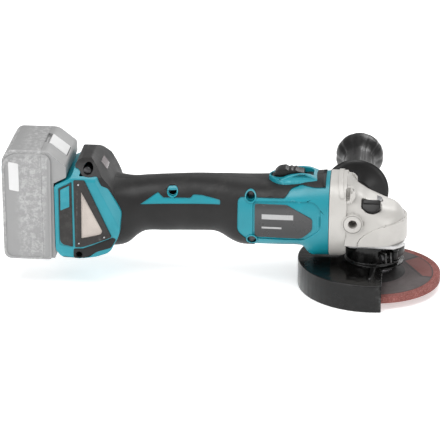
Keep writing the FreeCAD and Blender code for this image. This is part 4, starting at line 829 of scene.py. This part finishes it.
# the thin rib behind the head's top
rib = newObject("headRib", slab([(-32.4, 92, 0.5), (-28.6, 92, 0.5), (-25.6, 78, 0.5), (-26.6, 76.4, 0.5),
        (-29.6, 76.4, 0.5), (-30.2, 78, 0.5)], -30.6, 30.6))
ribOut = [(x, mid, high + 1.0, wide + 1.0, power) for x, mid, high, wide, power in flangeRows]
carve(rib, [loft(ribOut, steps=120)], "INTERSECT")
finishPiece(rib, mats["cast"], "tool", edge=0.3)

cap = slab(shield, 12.8, 19.2, axis="Z", edge=0.9)
ridge = slab([(-7.4, 6.4, 1), (-7.4, 2.4, 0.6), (7.4, 2.4, 0.6), (7.4, 6.4, 1)], 18.8, 20.2, axis="Z",
        edge=0.6)
bmesh.ops.transform(cap, matrix=lockTurn, verts=cap.verts)
bmesh.ops.transform(ridge, matrix=lockTurn, verts=ridge.verts)
capPiece = newObject("lockShield", cap)
carve(capPiece, [ridge], "UNION")
finishPiece(capPiece, mats["black"], "shaft_lock", ["shaft_lock_button"], edge=0.2)
print("gear head")

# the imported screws, drawn in to suit the smoother skin
seatedScrews = {"inY": 3.6, "inZ": 5.4, "axisZ": 51, "dockFront": -230, "towardMiddle": 1.6}
for node in ("gear_housing_screws", "housing_screws"):
    piece = copyNode(node, node + "_seated")
    for v in piece.data.vertices:
        if node == "gear_housing_screws":
            v.co.y -= math.copysign(seatedScrews["inY"], v.co.y)
            v.co.z -= math.copysign(seatedScrews["inZ"], v.co.z - seatedScrews["axisZ"])
        elif v.co.x > seatedScrews["dockFront"]:
            v.co.y += seatedScrews["towardMiddle"]
    finishPiece(piece, mats["screw"], "tool", [node], edge=0.15)

# ---------- guard, clamp band and lever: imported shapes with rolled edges
for node, body, edge, look in (("wheel_guard", "guard", 1.1, "gloss"), ("guard_clamp_band", "guard", 0.4,
        "gloss"), ("clamp_lever", "guard_lever", 0.8, "black"), ("clamp_bolt", "guard", 0.3, "screw"),
        ("clamp_pin", "guard", 0.3, "screw"),
                               ("bearing_box", "tool", 0.6, "castRaw"), ("lock_nut", "output_spindle", 0.35,
                               "flange"), ("inner_flange", "output_spindle", 0.4, "zinc")):
    piece = copyNode(node, node + "_rolled")
    finishPiece(piece, mats[look], body, [node],
            edge=edge, segments=3, limit=40)
print("guard")

# ---------- side handle

knob = [(0, 64.2), (5, 64.2), (5, 34.4), (11.6, 34.4), (12.4, 35.6), (12.4, 45.5), (14.5, 47.6),
        (26.5, 51.6), (29.2, 52.6), (30.4, 54.0), (30.4, 55.6), (29.7, 56.8), (27.8, 57.2),
        (20, 58.6), (16.4, 61.5), (15.8, 68), (16.4, 80), (17.2, 92), (17.0, 104), (16.0, 117), (15.6, 126),
        (16.8, 132), (19.6, 137.5), (22.2, 142), (23, 146.5), (23, 151), (21.6, 154.6),
        (18, 156.8), (12, 157), (0, 157)]
bm = lathe(knob, 120, "Y", (-18, 0, 53))
for v in bm.verts:
    # flutes along the grip, fading at both ends
    dx, dz = v.co.x + 18, v.co.z - 53
    radius = math.hypot(dx, dz)
    fade = max(0.0, min(1.0, (v.co.y - 64) / 8)) * max(0.0, min(1.0, (153 - v.co.y) / 6))
    if radius > 14 and fade > 0:
        k = 1 - 0.045 * fade * max(0.0, math.cos(10 * math.atan2(dz, dx))) ** 2
        v.co.x, v.co.z = -18 + dx * k, 53 + dz * k
grip = newObject("sideGrip", bm)
finishPiece(grip, mats["handle"], "side_handle", ["side_grip"], edge=0.4, sharp=45)
print("side handle")

# ---------- slide switch and its surround
surroundSide = [(-96, 78), (-96, 87.2, 1), (-91.5, 87.4, 2), (-83.5, 87.2, 2), (-76.5, 90.4, 3),
        (-65.5, 92.2, 3), (-57.5, 91.4, 2), (-50.8, 87.8, 1), (-50.8, 78)]
surroundPlan = [(-95.6, -3.0, 2), (-91.5, -10.5, 4), (-84, -15.8, 4), (-66, -16.4, 4), (-51, -15.6, 2),
        (-51, 15.6, 2), (-66, 16.4, 4), (-84, 15.8, 4), (-91.5, 10.5, 4), (-95.6, 3.0, 2)]
surround = newObject("switchSurround", slab(surroundSide, -18, 18))
carve(surround, [slab(surroundPlan, 60, 120, axis="Z")], "INTERSECT")
carve(surround, [slab([(-17.2, 76), (17.2, 76), (15.8, 84.6, 1), (10.6, 92.9, 1.5), (-10.6, 92.9, 1.5),
        (-15.8, 84.6, 1)], -100, -40, axis="X")], "INTERSECT")
carve(surround, [slab([(-93, -3, 1), (-89.5, -7.4, 2), (-80, -8.2, 1), (-55, -8.2, 2), (-55, 8.2, 2),
        (-80, 8.2, 1), (-89.5, 7.4, 2), (-93, 3, 1)], 60, 120, axis="Z")])
finishPiece(surround, mats["teal"], "tool", edge=0.8, segments=3)
well = newObject("switchWell", slab([(-92.5, -8.4), (-54.4, -8.4), (-54.4, 8.4), (-92.5, 8.4)], 80, 87.0,
        axis="Z"))
finishPiece(well, mats["black"], "tool", edge=0.3)
knobSide = [(-90.2, 87.2), (-90.6, 89.8, 1.2), (-86.5, 93.8, 2.2), (-80.2, 94.8, 1), (-77.4, 92.9, 1),
        (-75.4, 94.2, 0.7), (-73.4, 92.9, 0.7), (-71.4, 94.0, 0.7), (-69.4, 92.6, 0.7),
            (-63.6, 91.6, 1), (-63.0, 90.0, 0.5), (-63.0, 87.2)]
thumb = newObject("switchThumb", slab(knobSide, -6.6, 6.6, edge=0.7))
finishPiece(thumb, mats["black"], "switch_slider", ["slide_switch"], edge=0.2)
# the pane lies on the slope in front of the bulge
lens = newObject("indicatorPane", slab([(-248.7, 96.5), (-243.6, 89.1), (-242.7, 89.7, 0.3), (-247.8, 97.1,
        0.3)], -8.4, 8.4))
finishPiece(lens, mats["lens"], "tool", ["indicator_window"], edge=0.3)
print("switch")

# ---------- stage

floorSize = {"half": 3.0, "z": -0.0172}
bm = bmesh.new()
bmesh.ops.create_grid(bm, x_segments=1, y_segments=1, size=floorSize["half"])
bmesh.ops.translate(bm, verts=bm.verts, vec=(0, 0, floorSize["z"]))
floor = newObject("floor", bm)
floorMat = bpy.data.materials.new("paleFloor")
floorMat.use_nodes = True
floorMat.node_tree.nodes["Principled BSDF"].inputs["Base Color"].default_value = (0.9, 0.9, 0.9, 1)
floorMat.node_tree.nodes["Principled BSDF"].inputs["Roughness"].default_value = 0.8
floorMat.node_tree.nodes["Principled BSDF"].inputs["Emission Color"].default_value = (1, 1, 1, 1)
floorMat.node_tree.nodes["Principled BSDF"].inputs["Emission Strength"].default_value = 0.45
floor.data.materials.append(floorMat)

world = bpy.data.worlds.new("studio")
scene.world = world
world.use_nodes = True
world.node_tree.nodes["Background"].inputs[0].default_value = (1, 1, 1, 1)
world.node_tree.nodes["Background"].inputs[1].default_value = 0.42

for name, spot, aim, size, power in (
        ("keyTop", (-0.25, -0.5, 1.5), (-0.14, 0, 0.04), 1.1, 17),
        ("frontLeft", (-1.3, -1.2, 0.7), (-0.14, 0, 0.04), 0.9, 9),
        ("rimBack", (0.5, 1.3, 1.0), (-0.1, 0, 0.05), 0.9, 10),
        ("frontRight", (1.2, -1.0, 0.5), (0, 0, 0.04), 0.7, 6)):
    light = bpy.data.lights.new(name, "AREA")
    light.size = size
    light.energy = power
    lamp = bpy.data.objects.new(name, light)
    lamp.location = spot
    lamp.rotation_euler = (Vector(aim) - Vector(spot)).to_track_quat("-Z", "Y").to_euler()
    scene.collection.objects.link(lamp)

view = {"azimuth": 5.25, "elevation": 21.61, "distance": 2.1327, "target": (-0.1405, 0, 0.0402),
        "lens": 190.1}
a, e = math.radians(view["azimuth"]), math.radians(view["elevation"])
back = Vector((math.sin(a) * math.cos(e), -math.cos(a) * math.cos(e), math.sin(e)))
camera = bpy.data.objects.new("camera", bpy.data.cameras.new("camera"))
camera.location = Vector(view["target"]) + back * view["distance"]
camera.rotation_euler = (-back).to_track_quat("-Z", "Y").to_euler()
camera.data.lens = view["lens"]
camera.data.sensor_width = 36
scene.collection.objects.link(camera)
scene.camera = camera
